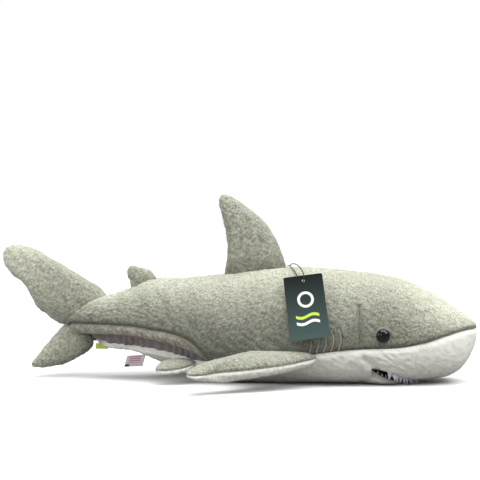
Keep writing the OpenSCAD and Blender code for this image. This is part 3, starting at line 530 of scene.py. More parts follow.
# %% Group: weave of a cloth
weave_group, win, wout = make_group(
    "cloth_weave",
    [("Thread", COLOUR, None), ("Gap", COLOUR, None), ("Count", FLOAT, 1500.0)],
    [("Color", COLOUR), ("Height", FLOAT)])
coords = node(weave_group, "ShaderNodeTexCoord").outputs["Object"]
scaled = node(weave_group, "ShaderNodeVectorMath", {0: coords, "Scale": win["Count"]},
              operation="SCALE").outputs[0]
across = node(weave_group, "ShaderNodeTexWave", {"Vector": scaled, "Scale": 0.3, "Distortion": 0.6},
              bands_direction="DIAGONAL").outputs[1]
warp = node(weave_group, "ShaderNodeTexWave", {"Vector": scaled, "Scale": 0.3, "Distortion": 0.6},
            bands_direction="Z").outputs[1]
thread = node(weave_group, "ShaderNodeMath", {0: across, 1: warp}, operation="MULTIPLY").outputs[0]
worn = node(weave_group, "ShaderNodeTexNoise", {"Vector": coords, "Scale": 90.0,
                                                "Detail": 3.0}).outputs[0]
uneven = node(weave_group, "ShaderNodeMath", {0: thread, 1: worn}, operation="ADD").outputs[0]
share = node(weave_group, "ShaderNodeMapRange", {0: uneven, 1: 0.2, 2: 1.1}).outputs[0]
weave_group.links.new(blend_colours(weave_group, share, win["Gap"], win["Thread"]), wout["Color"])
weave_group.links.new(thread, wout["Height"])


# %% Materials from the groups
def new_material(name, roughness=0.9, **plain):
    mat = bpy.data.materials.new(name)
    mat.use_nodes = True
    tree = mat.node_tree
    shader = tree.nodes["Principled BSDF"]
    shader.inputs["Roughness"].default_value = roughness
    for label, value in plain.items():
        shader.inputs[label.replace("_", " ")].default_value = value
    return mat, tree, shader


def with_group(mat_parts, group, colours, bump_mm, **values):
    mat, tree, shader = mat_parts
    used = node(tree, "ShaderNodeGroup", node_tree=group)
    for label, value in (colours | values).items():
        used.inputs[label].default_value = value
    # Painted light and shade: the colour is scaled by one plus a stored shading attribute (no change
    # where it is missing).
    nap = node(tree, "ShaderNodeAttribute", attribute_name="nap").outputs["Fac"]
    nap = node(tree, "ShaderNodeMath", {0: nap, 1: 1.0}, operation="ADD").outputs[0]
    toned = node(tree, "ShaderNodeVectorMath", {0: used.outputs["Color"], "Scale": nap},
                 operation="SCALE")
    tree.links.new(toned.outputs[0], shader.inputs["Base Color"])
    if "Roughness" in used.outputs:
        tree.links.new(used.outputs["Roughness"], shader.inputs["Roughness"])
    bump = node(tree, "ShaderNodeBump", {"Height": used.outputs["Height"], "Strength": 0.9,
                                         "Distance": bump_mm * MM})
    tree.links.new(bump.outputs[0], shader.inputs["Normal"])
    return mat


def plush(name, root, middle, tip, bump=0.9, streak=0.5, patches=0.15, tilt=0.74, sheen=0.25):
    parts = new_material(name, Specular_IOR_Level=0.15, Sheen_Weight=sheen, Sheen_Roughness=0.5)
    return with_group(parts, pile_group, {"Root": srgb(*root), "Middle": srgb(*middle),
                                          "Tip": srgb(*tip)}, bump,
                      Streak=streak, Patches=patches, Tilt=tilt)


def cloth(name, thread_rgb, gap_rgb, bump=0.25, count=1500.0, sheen=0.2):
    parts = new_material(name, Specular_IOR_Level=0.2, Sheen_Weight=sheen)
    return with_group(parts, weave_group, {"Thread": srgb(*thread_rgb), "Gap": srgb(*gap_rgb)},
                      bump, Count=count)


# Root, middle and tip colours of each plush; the dark roots partly stand for shade between clumps.
grey = plush("grey_plush", (115, 115, 98), (164, 165, 149), (202, 204, 194), bump=1.0,
             streak=0.7, patches=0.08)
# A darker copy of the grey plush for the hem: painted shade on the low flank by the opening.
shaded_grey_hem = plush("grey_plush_hem_painted_shade", (96, 93, 80), (142, 138, 127), (178, 174, 163), bump=0.6)
white = plush("white_plush", (214, 212, 203), (232, 231, 224), (242, 241, 236), bump=0.35,
              streak=0.4, patches=0.2)
mauve = cloth("mauve_lining", (146, 134, 138), (100, 90, 94), count=1900.0)
red = cloth("red_lining", (172, 44, 46), (110, 22, 26))
felt = cloth("tooth_felt", (232, 226, 240), (198, 190, 212), count=2600.0, bump=0.15)
satin = cloth("label_satin", (224, 216, 222), (196, 186, 194), count=3200.0, bump=0.06, sheen=0.4)
ribbon = cloth("lime_ribbon", (208, 226, 120), (160, 190, 70), count=3000.0, bump=0.08)
thread_mat = cloth("stitch_thread", (204, 198, 178), (150, 142, 124), count=5200.0, bump=0.2)
cord_mat = cloth("tag_cord", (52, 34, 36), (26, 17, 18), count=5200.0, bump=0.3)
fill_mat = cloth("fibre_fill", (244, 242, 234), (216, 212, 200), count=700.0, bump=0.5)
print("materials", len(bpy.data.materials))

# %% Plastic and card
glossy, tree, shader = new_material("eye_plastic", 0.08, Specular_IOR_Level=0.35,
                                    Coat_Weight=0.15, Coat_Roughness=0.03)
dust = node(tree, "ShaderNodeTexNoise", {"Scale": 260.0, "Detail": 4.0})
tree.links.new(node(tree, "ShaderNodeTexCoord").outputs["Object"], dust.inputs["Vector"])
tree.links.new(blend_colours(tree, dust.outputs[0], srgb(4, 4, 5), srgb(12, 12, 13)),
               shader.inputs["Base Color"])
tree.links.new(node(tree, "ShaderNodeMapRange", {0: dust.outputs[0], 3: 0.04, 4: 0.14}).outputs[0],
               shader.inputs["Roughness"])
washer_mat, tree, shader = new_material("washer_plastic", 0.45)
grain = node(tree, "ShaderNodeTexNoise", {"Scale": 900.0, "Detail": 2.0})
tree.links.new(node(tree, "ShaderNodeTexCoord").outputs["Object"], grain.inputs["Vector"])
tree.links.new(blend_colours(tree, grain.outputs[0], srgb(226, 226, 220), srgb(240, 240, 236)),
               shader.inputs["Base Color"])

# %% [markdown]
# The hang tag is dark card, a little lighter toward its foot, with a rounded print on it.
# The print is only a plain ring over two waves, a motif that stands for no maker.
# It is drawn by the material from the card's own place, so it stays sharp at any size.

# %% The printed card
tag_low, tag_high = (np.array(c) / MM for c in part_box("tag_card"))
TAG_W, TAG_H, TAG_TOP, TAG_LEAN, TAG_TURN = 50.8, 85.0, 44.45, 19, 8
TAG_CENTRE = np.array([96, -TRUNK_W / 2 + 1, 103.0])
card, tree, shader = new_material("tag_board", 0.5, Specular_IOR_Level=0.15, Coat_Weight=0.04)
flat = node(tree, "ShaderNodeAttribute", attribute_name="on_card").outputs["Vector"]
axes = node(tree, "ShaderNodeSeparateXYZ", {0: flat}).outputs


def calc(kind, a, b=0.0, c=0.0):
    return node(tree, "ShaderNodeMath", {0: a, 1: b, 2: c}, operation=kind).outputs[0]


paper = node(tree, "ShaderNodeTexNoise", {"Vector": flat, "Scale": 0.35, "Detail": 5.0}).outputs[0]
fade = node(tree, "ShaderNodeMapRange", {0: axes[1], 1: -44.0, 2: 44.0}).outputs[0]
ground = blend_colours(tree, fade, srgb(72, 92, 90), srgb(20, 27, 27))
ground = blend_colours(tree, calc("MULTIPLY", paper, 0.15), ground, srgb(20, 28, 28))
far = calc("SQRT", calc("ADD", calc("POWER", calc("SUBTRACT", axes[0], 0.0), 2.0),
                        calc("POWER", calc("SUBTRACT", axes[1], 12.0), 2.0)))
ring = calc("LESS_THAN", calc("ABSOLUTE", calc("SUBTRACT", far, 9.0)), 1.7)
inside = calc("LESS_THAN", calc("ABSOLUTE", axes[0]), 15.0)
swing = calc("MULTIPLY", calc("SINE", calc("MULTIPLY", axes[0], 0.21)), 2.0)
face = blend_colours(tree, ring, ground, srgb(240, 242, 236))
for level, tint in ((-10.0, srgb(200, 226, 84)), (-18.5, srgb(240, 242, 236))):
    off = calc("SUBTRACT", calc("SUBTRACT", axes[1], level), swing)
    wave = calc("LESS_THAN", calc("ABSOLUTE", off), 1.9)
    face = blend_colours(tree, calc("MULTIPLY", wave, inside), face, tint)
tree.links.new(face, shader.inputs["Base Color"])
tree.links.new(node(tree, "ShaderNodeMapRange", {0: paper, 3: 0.36, 4: 0.5}).outputs[0],
               shader.inputs["Roughness"])
print("card print made; tag box", tag_low.round(1), tag_high.round(1))

# %% [markdown]
# The card is a thin sheet with small rounded corners, a soft bend and a punched hole. It is
# made as rings of points between the hole and the edge, then laid against the flank.

# %% The card
CARD_T, CARD_RINGS = 0.6, 12


def tag_place(p):
    """From the card's own plane to where it hangs: x across, y up, z through the card."""
    t, l = math.radians(TAG_TURN), math.radians(90 - TAG_LEAN)
    x = p[:, 0] * math.cos(t) - p[:, 1] * math.sin(t)
    y = p[:, 0] * math.sin(t) + p[:, 1] * math.cos(t)
    z = p[:, 2] + 0.3
    return TAG_CENTRE + np.stack([x, y * math.cos(l) - z * math.sin(l),
                                  y * math.sin(l) + z * math.cos(l)], 1)


def make_card():
    n, corner, hole, hole_y = 96, 1.2, 2.0, TAG_TOP - 7.4
    a = np.arange(n) * 2 * math.pi / n
    ray = np.stack([np.cos(a), np.sin(a)], 1)
    centre = np.array([0, hole_y])
    room, floor_of = np.array([TAG_W / 2, TAG_TOP]), np.array([-TAG_W / 2, TAG_TOP - TAG_H])
    with np.errstate(divide="ignore"):
        reach = np.where(ray > 0, (room - centre) / ray, (floor_of - centre) / ray)
    edge = centre + ray * np.min(np.where(np.isfinite(reach) & (reach > 0), reach, 1e9), 1)[:, None]
    for corner_at in ((1, 1), (1, -1), (-1, 1), (-1, -1)):
        c = np.where(np.array(corner_at) > 0, room, floor_of)
        edge[np.argmin(np.linalg.norm(edge - c, axis=1))] = c - np.array(corner_at) * corner * 0.3
    punched = centre + ray * hole
    rings = [punched + (edge - punched) * f for f in np.linspace(0, 1, CARD_RINGS + 1)]
    flat = np.vstack(rings)
    layers = []
    for h in (0.0, CARD_T):
        bend = 0.44 * np.cos(flat[:, 1] / 44 * 1.3) - 0.25 * (flat[:, 0] / 25.4) ** 2
        layers.append(np.column_stack([flat, h + bend]))
    verts = np.vstack(layers)
    m, faces = len(flat), []
    for k in range(CARD_RINGS):
        for j in range(n):
            q = (k * n + j, k * n + (j + 1) % n, (k + 1) * n + (j + 1) % n, (k + 1) * n + j)
            faces += [q, tuple(m + i for i in reversed(q))]
    for j in range(n):
        b, k = (j + 1) % n, CARD_RINGS * n
        faces += [(j, m + j, m + b, b), (k + j, k + b, m + k + b, m + k + j)]
    obj = new_object("hang_tag", tag_place(verts), faces)
    where = obj.data.attributes.new("on_card", "FLOAT_VECTOR", "POINT")
    where.data.foreach_set("vector", verts.ravel())
    return obj


tag = make_card()
tag.data.materials.append(card)
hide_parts("tag_card")
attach(tag, "hang_tag")
print("card", len(tag.data.polygons), "faces")

# %% The string
def curve_object(name, lines, radius_mm, mat, sides=2):
    data = bpy.data.curves.new(name, "CURVE")
    data.dimensions, data.bevel_depth, data.bevel_resolution = "3D", radius_mm * MM, sides
    data.use_fill_caps = True
    for line in lines:
        one = data.splines.new("POLY")
        one.points.add(len(line) - 1)
        for point, where in zip(one.points, line):
            point.co = (*(np.array(where) * MM), 1)
    data.materials.append(mat)
    obj = bpy.data.objects.new(name, data)
    bpy.context.scene.collection.objects.link(obj)
    return obj


string = curve_object("tag_loop", [string_line], STRING_D / 2, cord_mat, 3)
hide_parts("tag_string")
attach(string, "hang_tag")

# %% [markdown]
# Plush is put on a smooth form in one step. The surface moves out along its normals by the
# height of the clumps, less near a seam, where the pile is caught in the stitches. Creases are
# pressed in first: each is a line on the flank with a depth and a width. The lower pile in seams
# and creases is stored too, so the material paints shade into them. A second attribute holds
# painted light and shade: it makes the grey paler where it faces up, darker where it faces down.

# %% Plush on a form
# Points (x, z) on both flanks, depth, width: dart, cheek, snout, slack folds, tail seam
CREASES = [
    ([(163, 106), (164, 88), (163.5, 68), (164, 57)], 3.4, 2.4),
    ([(171, 38), (177, 33), (186, 26), (190, 15), (201, 2)], 2.8, 4.0),
    ([(230, 93), (252, 96), (283, 101)], 1.0, 4.0),
    ([(-108, 122), (-96, 108), (-88, 90), (-92, 76)], 1.6, 6.0),
    ([(-66, 132), (-58, 112), (-62, 92), (-54, 74)], 1.5, 6.0),
    ([(-34, 134), (-30, 110), (-37, 86), (-30, 62)], 1.3, 6.0),
    ([(-230, 84), (-222, 96), (-208, 104), (-189, 110)], 2.6, 2.2),
    ([(48, 60), (62, 52), (72, 40)], 1.4, 5.0),
]
GILL_N, GILL_S, GILL_STEP, GILL_H, GILL_PROUD = 5, 0.601, 9.4, 25, 2.5


def gill_line(i, steps=14):
    """One gill pleat on the right flank, from just above the colour seam, bowed forward."""
    s, t = GILL_S + i * GILL_STEP / TRUNK_LEN, np.linspace(0, 1, steps)
    z = TRUNK_H * curve(COLOUR_SEAM, s) + 4 + GILL_H * t
    bow = s + 0.006 * np.sin(np.pi * t)
    return bow, turn_at(bow, z)


for i in range(GILL_N):
    CREASES.append((skin(*gill_line(i, 5))[:, [0, 2]].tolist(), 1.6, 2.6))


def near_line(p, line):
    """Distance in the side view from points to a line of straight parts."""
    best = np.full(len(p), 1e9)
    q = p[:, [0, 2]]
    for a, b in zip(np.array(line[:-1], float), np.array(line[1:], float)):
        t = np.clip((q - a) @ (b - a) / ((b - a) @ (b - a)), 0, 1)
        best = np.minimum(best, np.linalg.norm(q - a - t[:, None] * (b - a), axis=1))
    return best


def press_creases(p, normal):
    depth = np.zeros(len(p))
    for line, deep, width in CREASES:
        depth += deep * np.exp(-((near_line(p, line) / width) ** 2))
    side_on = np.clip(np.abs(normal[:, 1]) * 1.5, 0, 1)
    # The second value also lowers the stored pile in the crease, so the material paints shade there.
    return p - normal * (depth * side_on)[:, None], np.clip(depth / 2.6, 0, 0.85) * side_on


PILE = 1.5
# Of a cover: rows along the trunk, depth of its sewn edge, and how far that edge tucks under
ROW_SPACING, VALLEY, TUCK = 2.4, 2.4, 3.0


def back_painted_shading(p, n):
    """Painted light and shade on the grey back: paler where it faces up and toward the nose, darker on
    the flanks.
    """
    nose = np.clip((p[:, 0] - 205) / 65, 0, 1)
    return 0.59 * 2.5 ** n[:, 2] * (1 + 0.4 * nose) - 1


def put_pile(obj, keep=None, lay=LAY_BODY, amount=PILE, seed=3, creased=False, nap=None):
    """Raises the pile of a plush piece and remembers its height for the material; the stored height is
    lower where the pile is kept flat, which paints shade into seams and creases.
    """
    p, n = points_of(obj.data), normals_of(obj.data)
    if nap is not None:
        shading_attr = obj.data.attributes.new("nap", "FLOAT", "POINT")
        shading_attr.data.foreach_set("value", nap(p, n).astype(np.float32))
    keep = np.ones(len(p)) if keep is None else keep
    if creased:
        pressed, caught_and_shaded = press_creases(p, n)
        set_points(obj.data, pressed)
        p, n = points_of(obj.data), normals_of(obj.data)
        keep = keep * (1 - caught_and_shaded)
    pile = clumps(p, lay, seed)
    slack = lattice(p / 34, seed + 9) - 0.5
    lean = np.array([-0.5, 0, -0.35])
    out = p + n * ((pile * amount + slack * 1.6) * keep)[:, None]
    out += lean * ((pile - 0.4) * amount * 0.6 * keep)[:, None]
    out[:, 2] = np.maximum(out[:, 2], 0.2)
    set_points(obj.data, out)
    # Painted shade: where keep is low (seams, rims, creases) the stored height drops and the colour
    # darkens.
    pile_and_seam_shade = obj.data.attributes.new("pile", "FLOAT", "POINT")
    pile_and_seam_shade.data.foreach_set("value", (pile * (0.35 + 0.65 * keep)).astype(np.float32))
    smooth(obj)
    return obj


def panel(name, s_range, a0, a1, cols, mirror=False, nap=None):
    """A cover of the trunk between two seams, with rolled edges that tuck into the seams."""
    rows = int((s_range[1] - s_range[0]) * TRUNK_LEN / ROW_SPACING) + 1
    s = np.linspace(*s_range, rows)
    low, high = a0(s), a1(s)
    f = np.linspace(0, 1, cols)
    s2 = np.repeat(s[:, None], cols, 1)
    a = low[:, None] + (high - low)[:, None] * f
    flat = skin(s2, a, 0.0)
    step = np.linalg.norm(np.diff(flat, axis=1), axis=2)
    arc = np.concatenate([np.zeros((rows, 1)), np.cumsum(step, 1)], 1)
    edge = np.minimum(arc, arc[:, -1:] - arc)
    deep = VALLEY * np.exp(-((edge / 3.2) ** 2))
    p = skin(s2, a, deep) + puff(s2, -a if mirror else a) * np.clip(edge / 12, 0, 1)[..., None] * (
        [1, -1 if mirror else 1, 1])
    rim_in = [skin(s2[:, c], a[:, c], VALLEY + TUCK) for c in (0, -1)]
    p = np.concatenate([rim_in[0][:, None], p, rim_in[1][:, None]], 1)
    p[..., 2] = np.maximum(p[..., 2], 0.3)
    keep = np.clip(edge / 4, 0, 1)
    keep = np.concatenate([np.zeros((rows, 1)), keep, np.zeros((rows, 1))], 1)
    if mirror:
        p = p * [1, -1, 1]
    obj = new_object(name, p.reshape(-1, 3), grid_faces(rows, cols + 2, flip=mirror))
    put_pile(obj, keep.ravel(), creased=True, nap=nap)
    return obj


def zero(s):
    return np.zeros_like(s)


print(len(CREASES), "creases")

# %% [markdown]
# The grey back is two long panels that meet along the ridge. Each runs down to the seam with
# the white underside; on the right side it stops at the hem of the glove opening.

# %% The grey back
def left_edge(s):
    return at_curve(COLOUR_SEAM, s)


def right_edge(s):
    """The hem seam at the opening; it glides into the colour seam in front of it."""
    w = np.clip((s - (HEM_S - 0.02)) / 0.02, 0, 1)
    return (1 - w) * at_curve(HEM_SEAM, s) + w * left_edge(s)


covers = {}
covers["back_cover_right"] = panel("back_plush_right", (0.0, 1.0), zero, right_edge, cols=92,
                                   nap=back_painted_shading)
covers["back_cover_left"] = panel("back_plush_left", (0.0, 1.0), zero, left_edge, cols=92,
                                  mirror=True, nap=back_painted_shading)
for name, obj in covers.items():
    obj.data.materials.append(grey)
    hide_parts(name, "trunk_stuffing" if "left" in name else "head_stuffing")
    print(name, len(obj.data.polygons), "faces")

# %% The white underside of the trunk and of the snout
def belly_right(s):
    w = np.clip((s - (HEM_S - 0.02)) / 0.02, 0, 1)
    return (1 - w) * at_curve(BELLY_EDGE, s) + w * left_edge(s)


def belly_left(s):
    return 360 - left_edge(s)


def lip_edge(s):
    return np.minimum(at_curve(LIP, s), 180)


covers["belly_cover"] = panel("belly_plush", (0.02, 0.748), belly_right, belly_left, cols=78)
covers["snout_underside_right"] = panel("snout_plush_right", (MOUTH_S, 1.0), left_edge, lip_edge,
                                        cols=30)
covers["snout_underside_left"] = panel("snout_plush_left", (MOUTH_S, 1.0), left_edge, lip_edge,
                                       cols=30, mirror=True)
for name in ("belly_cover", "snout_underside_right", "snout_underside_left"):
    covers[name].data.materials.append(white)
    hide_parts(name)
for name, obj in covers.items():
    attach(obj, "trunk")
print("covers", sum(len(o.data.polygons) for o in covers.values()), "faces")

# %% [markdown]
# The glove opening is a long slit under a folded hem. The hem is a band of plush, rounded and a
# little proud of the flank. Behind it hangs the pocket lining, a thin mauve cloth gathered in
# small upright folds, and below it the white belly starts with a turned edge.

# %% Hem of the glove opening
def strip_between(s, top_curve, low_curve, f):
    a, b = at_curve(top_curve, s), at_curve(low_curve, s)
    return a[:, None] + (b - a)[:, None] * f[None, :]


def make_hem():
    s = np.linspace(0.006, HEM_S - 0.004, 110)
    f = np.linspace(-0.22, 1.2, 22)
    a = strip_between(s, HEM_SEAM, HEM_EDGE, f * 0.88)
    inner = np.clip(f, 0, 1)
    deep = -2.4 * np.sin(np.pi * inner) ** 0.6 + 1.2
    deep = deep + np.where(f < 0, -f * 16, 0) + np.where(f > 1, (f - 1) * 30, 0)
    taper = np.clip((HEM_S - s) / 0.05, 0, 1) * np.clip(s / 0.03, 0.3, 1)
    deep = deep[None, :] * taper[:, None] + (1 - taper[:, None]) * 1.5
    p = skin(s[:, None], a, deep) + puff(np.repeat(s[:, None], len(f), 1), a)
    obj = new_object("glove_hem", p.reshape(-1, 3), grid_faces(len(s), len(f)))
    keep = np.repeat(np.clip(np.minimum(f, 1.15 - f) * 5, 0, 1)[None, :], len(s), 0)
    put_pile(obj, keep.ravel(), amount=0.9, seed=21)
    obj.data.materials.append(shaded_grey_hem)
    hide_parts("opening_hem")
    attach(obj, "trunk")
    return obj


hem = make_hem()
hem_len = float(np.linalg.norm(np.diff(skin(np.linspace(0, HEM_S, 60), 90.0), axis=0), axis=1).sum())
print("hem", round(hem_len), "mm long")


# %% Gathered lining in the opening
def make_lining():
    s = np.linspace(0.012, HEM_S + 0.012, 250)
    v = np.linspace(0, 1, 16)
    top_a, low_a = at_curve(HEM_EDGE, s) - 6, at_curve(BELLY_EDGE, s) + 7
    a = top_a[:, None] + (low_a - top_a)[:, None] * v
    x = x_at(s)
    fold = np.sin(x * 0.62 + 2.2 * np.sin(x * 0.09)) * 0.9 + np.sin(x * 0.27 + 1.0) * 0.9
    deep = 3.4 + 2.2 * np.sin(np.pi * v)[None, :] ** 0.8 + fold[:, None] * (1 - 0.5 * v[None, :])
    p = skin(s[:, None], a, deep)
    obj = new_object("gathered_lining", p.reshape(-1, 3), grid_faces(len(s), len(v)))
    solid = obj.modifiers.new("cloth_thickness", "SOLIDIFY")
    solid.thickness, solid.offset = 0.6 * MM, -1
    applied(obj)
    smooth(obj)
    obj.data.materials.append(mauve)
    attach(obj, "trunk")
    return obj


lining = make_lining()

# %% [markdown]
# A satin care label and a lime ribbon end hang out of the belly seam. Both are thin strips that
# curl a little. The label carries only plain bars and a square, since its words are not copied.

# %% Care label and seam tab
def ribbon_strip(name, corners, curl, mat, thick=0.35, steps=14):
    """A strip from its sewn edge (two points) down by a drop vector, curling as it goes."""
    a, b, drop, side = (np.array(v, float) for v in corners)
    v = np.linspace(0, 1, steps)
    u = np.linspace(0, 1, steps)
    p = [[a + (b - a) * q + drop * t
          + side * curl * (math.sin(t * 2.6) + 0.35 * math.sin(q * 5 + t * 3))
          for q in u] for t in v]
    p = np.array(p)
    obj = new_object(name, p.reshape(-1, 3), grid_faces(steps, steps, flip=True))
    uv = obj.data.attributes.new("on_label", "FLOAT_VECTOR", "POINT")
    uv.data.foreach_set("vector", np.array([[q, 1 - t, 0] for t in v for q in u]).ravel())
    solid = obj.modifiers.new("cloth_thickness", "SOLIDIFY")
    solid.thickness, solid.offset = thick * MM, 0
    applied(obj)
    smooth(obj)
    obj.data.materials.append(mat)
    return obj


tree, shader = satin.node_tree, satin.node_tree.nodes["Principled BSDF"]
place = node(tree, "ShaderNodeSeparateXYZ",
             {0: node(tree, "ShaderNodeAttribute", attribute_name="on_label").outputs["Vector"]}).outputs
bars = calc("LESS_THAN", calc("FRACT", calc("MULTIPLY", place[1], 6.0)), 0.32)
aside = calc("ABSOLUTE", calc("SUBTRACT", place[0], 0.5))
bars = calc("MULTIPLY", bars, calc("LESS_THAN", aside, 0.3))
bars = calc("MULTIPLY", bars, calc("GREATER_THAN", place[1], 0.35))
square = calc("MAXIMUM", calc("ABSOLUTE", calc("SUBTRACT", place[0], 0.14)),
              calc("ABSOLUTE", calc("SUBTRACT", place[1], 0.12)))
woven = shader.inputs["Base Color"].links[0].from_socket
printed = blend_colours(tree, bars, woven, srgb(172, 84, 88))
printed = blend_colours(tree, calc("LESS_THAN", square, 0.11), printed, srgb(60, 70, 72))
tree.links.new(printed, shader.inputs["Base Color"])

low, high = (np.array(c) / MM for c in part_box("care_label"))
label = ribbon_strip("care_label_strip", [(low[0] + 2, low[1] + 0.3, high[2]),
                                          (high[0], low[1] + 0.3, high[2] + 1.5),
                                          (-4, -1.5, low[2] - high[2]), (0, -1, 0)], 1.6, satin)
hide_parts("care_label")
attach(label, "label")
low, high = (np.array(c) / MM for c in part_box("seam_tab"))
tab = ribbon_strip("seam_tab_strip", [(low[0] - 5, low[1], high[2] + 2),
                                      (high[0] - 5, low[1], high[2] + 2),
                                      (0, 0, low[2] - high[2]), (0, -1, 0)], 0.5, ribbon)
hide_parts("seam_tab")
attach(tab, "trunk")
print("label and tab made")

# %% [markdown]
# The fins come out of the simulation as plump pillows. One subdivision smooths them, the sewn
# rim is pressed in, and each is carried from its own plane to its place on the trunk. The root
# runs into the body.

# %% Placing a fin
def top_at(x):
    return TRUNK_H * curve(BACK, s_at(x))


def back_place(x0):
    return lambda p: np.stack([x0 + p[:, 0], p[:, 2], top_at(x0 + p[:, 0]) + 2 + p[:, 1]], 1)


def tail_place(dx, z0):
    return lambda p: np.stack([TAIL_X + dx - p[:, 0], p[:, 2], z0 + p[:, 1]], 1)


PECTORAL_SPAN, PECTORAL_X, ROOT_Z, TIP_Z = 84, -50, 38, 26
PELVIC_SPAN, PELVIC_X, PELVIC_ROOT_Y, PELVIC_Z, PELVIC_DROP = 24, -101, 46, 27, 8


def pectoral_place(side):
    def place(p):
        out = p[:, 1] / PECTORAL_SPAN
        z = TIP_Z + (ROOT_Z - TIP_Z) * np.maximum(1 - out, 0) ** 1.25
        z = z + p[:, 2] * np.minimum(1, 1.3 - 0.45 * out)
        return np.stack([PECTORAL_X + p[:, 0], -side * (TRUNK_W / 2 + 2 + p[:, 1]), z], 1)
    return place


def pelvic_place(side):
    return lambda p: np.stack([PELVIC_X + p[:, 0], -side * (PELVIC_ROOT_Y + p[:, 1]),
                               PELVIC_Z - PELVIC_DROP * p[:, 1] / PELVIC_SPAN + p[:, 2]], 1)


def fin_painted_shading(p, n):
    """Painted light and shade on the back and tail fins: lighter where they face up and toward the tail
    tips, painted shadow in the notch against the body and painted shade at the dorsal's base.
    """
    tip = np.clip((-235 - p[:, 0]) / 70, 0, 1)
    notch_shadow = np.exp(-(((p[:, 0] + 188) / 20) ** 2)) * np.clip((75 - p[:, 2]) / 20, 0, 1)
    base_shade = np.exp(-(((p[:, 2] - 150) / 12) ** 2)) * (p[:, 0] > -30) * (np.abs(p[:, 1]) < 40)
    return (0.95 + 0.3 * n[:, 2] + 0.42 * tip) * (1 - 0.6 * notch_shadow) * (1 - 0.2 * base_shade) - 1


def make_fin(name, form, place, flip, nodes, two_tone=False, groove=1.5):
    obj = bpy.data.objects.new(name, forms[form].data.copy())
    bpy.context.scene.collection.objects.link(obj)
    sub = obj.modifiers.new("rounder", "SUBSURF")
    sub.levels = sub.render_levels = 1
    applied(obj)
    p, n = points_of(obj.data), normals_of(obj.data)
    rim = np.exp(-((p[:, 2] / 1.7) ** 2)) * np.clip(1.4 - 2 * np.abs(n[:, 2]), 0, 1)
    p = p - n * (groove * rim)[:, None]
    upper = np.array([p[list(f.vertices), 2].mean() > 0 for f in obj.data.polygons])
    set_points(obj.data, place(p))
    if flip:
        obj.data.flip_normals()
    # The low pile at the pressed rim also paints shade along the seam.
    put_pile(obj, 1 - 0.85 * rim, seed=5 + len(name), amount=PILE * 0.9,
             nap=None if two_tone else fin_painted_shading)
    obj.data.materials.append(grey)
    if two_tone:
        obj.data.materials.append(white)
        obj.data.polygons.foreach_set("material_index", (~upper).astype(np.int32))
    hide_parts(*nodes)
    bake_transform(obj)
    print(name, len(obj.data.polygons), "faces")
    return obj


def panels(stem):
    return [stem + "_panel_right", stem + "_panel_left", stem + "_stuffing"]


def side_nodes(stem, side):
    return [f"{stem}_{part}_{side}" for part in ("top", "bottom", "stuffing")]


fins = [
    make_fin("dorsal_fin_plush", "dorsal", back_place(-15), True, panels("dorsal")),
    make_fin("second_dorsal_plush", "second_dorsal", back_place(-143), True,
             panels("second_dorsal"), groove=1.0),
    make_fin("tail_upper_plush", "tail_upper", tail_place(51, 72), False,
             panels("tail_upper")),
    make_fin("tail_lower_plush", "tail_lower", tail_place(36, 14), False,
             panels("tail_lower")),
]
for side, sign in (("right", 1), ("left", -1)):
    fins.append(make_fin(f"pectoral_{side}_plush", "pectoral", pectoral_place(sign), sign > 0,
                         side_nodes("pectoral", side),
                         two_tone=True))
    fins.append(make_fin(f"pelvic_{side}_plush", "pelvic", pelvic_place(sign), sign > 0,
                         side_nodes("pelvic", side),
                         two_tone=True, groove=0.8))
for obj in forms.values():
    bpy.data.objects.remove(obj)

# %% [markdown]
# The mouth: the upper lip is the edge of the snout, the lower jaw is a small stuffed scoop of
# white plush with a red cloth on top. The jaw's cloth runs back into the throat and bends there.

# %% Lower jaw
JAW_X, JAW_LEN, JAW_W, JAW_H = float(x_at(0.745)) + 2, 42, 92, 20


def jaw_half(q):
    return JAW_W / 2 * np.sqrt(1 - np.clip(q, 0, 1) ** 2.2)


def jaw_lip(q):
    return 4 + (JAW_H - 4) * np.clip(1 - q, 0, 1.3) ** 2.2


def make_jaw():
    q = np.concatenate([np.linspace(-0.2, 0, 8)[:-1], 1 - (1 - np.linspace(0, 0.999, 44)) ** 1.3])
    a = np.radians(np.linspace(0, 180, 64))
    qq, aa = np.meshgrid(q, a, indexing="ij")
    half, lip = jaw_half(qq), jaw_lip(qq)
    roll = np.clip(np.sin(aa) * 6, 0, 1)
    y = -(half - 2.0 * (1 - roll)) * np.sign(np.cos(aa)) * np.abs(np.cos(aa)) ** 0.7
    z = lip - lip * np.sin(aa) ** 0.6 + 1.2 * np.exp(-((np.sin(aa) * 6) ** 2))
    p = np.stack([JAW_X + qq * JAW_LEN, y, np.maximum(z, 0.3)], -1)
    lining_rows = []
    for k in range(1, 13):
        v = 1 - k / 12 * 2
        rim = 1.6 * np.abs(v) ** 8
        wrinkle = 0.8 * np.sin(k * 2.1) * (1 - abs(v))
        lining_rows.append(np.stack([JAW_X + q * (JAW_LEN - 1), jaw_half(q) * 0.99 * v,
                                     jaw_lip(q) - 0.6 + rim + wrinkle], -1))
    obj = new_object("jaw_plush", p.reshape(-1, 3), grid_faces(*p.shape[:2]))
    put_pile(obj, np.repeat(np.clip(np.sin(a) * 3, 0, 1)[None], len(q), 0).ravel(), amount=0.8, seed=31)
    obj.data.materials.append(white)
    first = [JAW_X + q * (JAW_LEN - 1), jaw_half(q) * 0.99, jaw_lip(q) + 1.0]
    bed = np.stack([np.stack(first, -1)] + lining_rows, 1)
    cloth_obj = new_object("jaw_red_cloth", bed.reshape(-1, 3), grid_faces(len(q), 13))
    smooth(cloth_obj)
    cloth_obj.data.materials.append(red)
    return obj, cloth_obj


jaw, jaw_cloth = make_jaw()
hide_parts("jaw_cover")
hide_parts("jaw_lining")
for obj in (jaw, jaw_cloth):
    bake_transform(obj)
print("jaw", len(jaw.data.polygons), "faces")


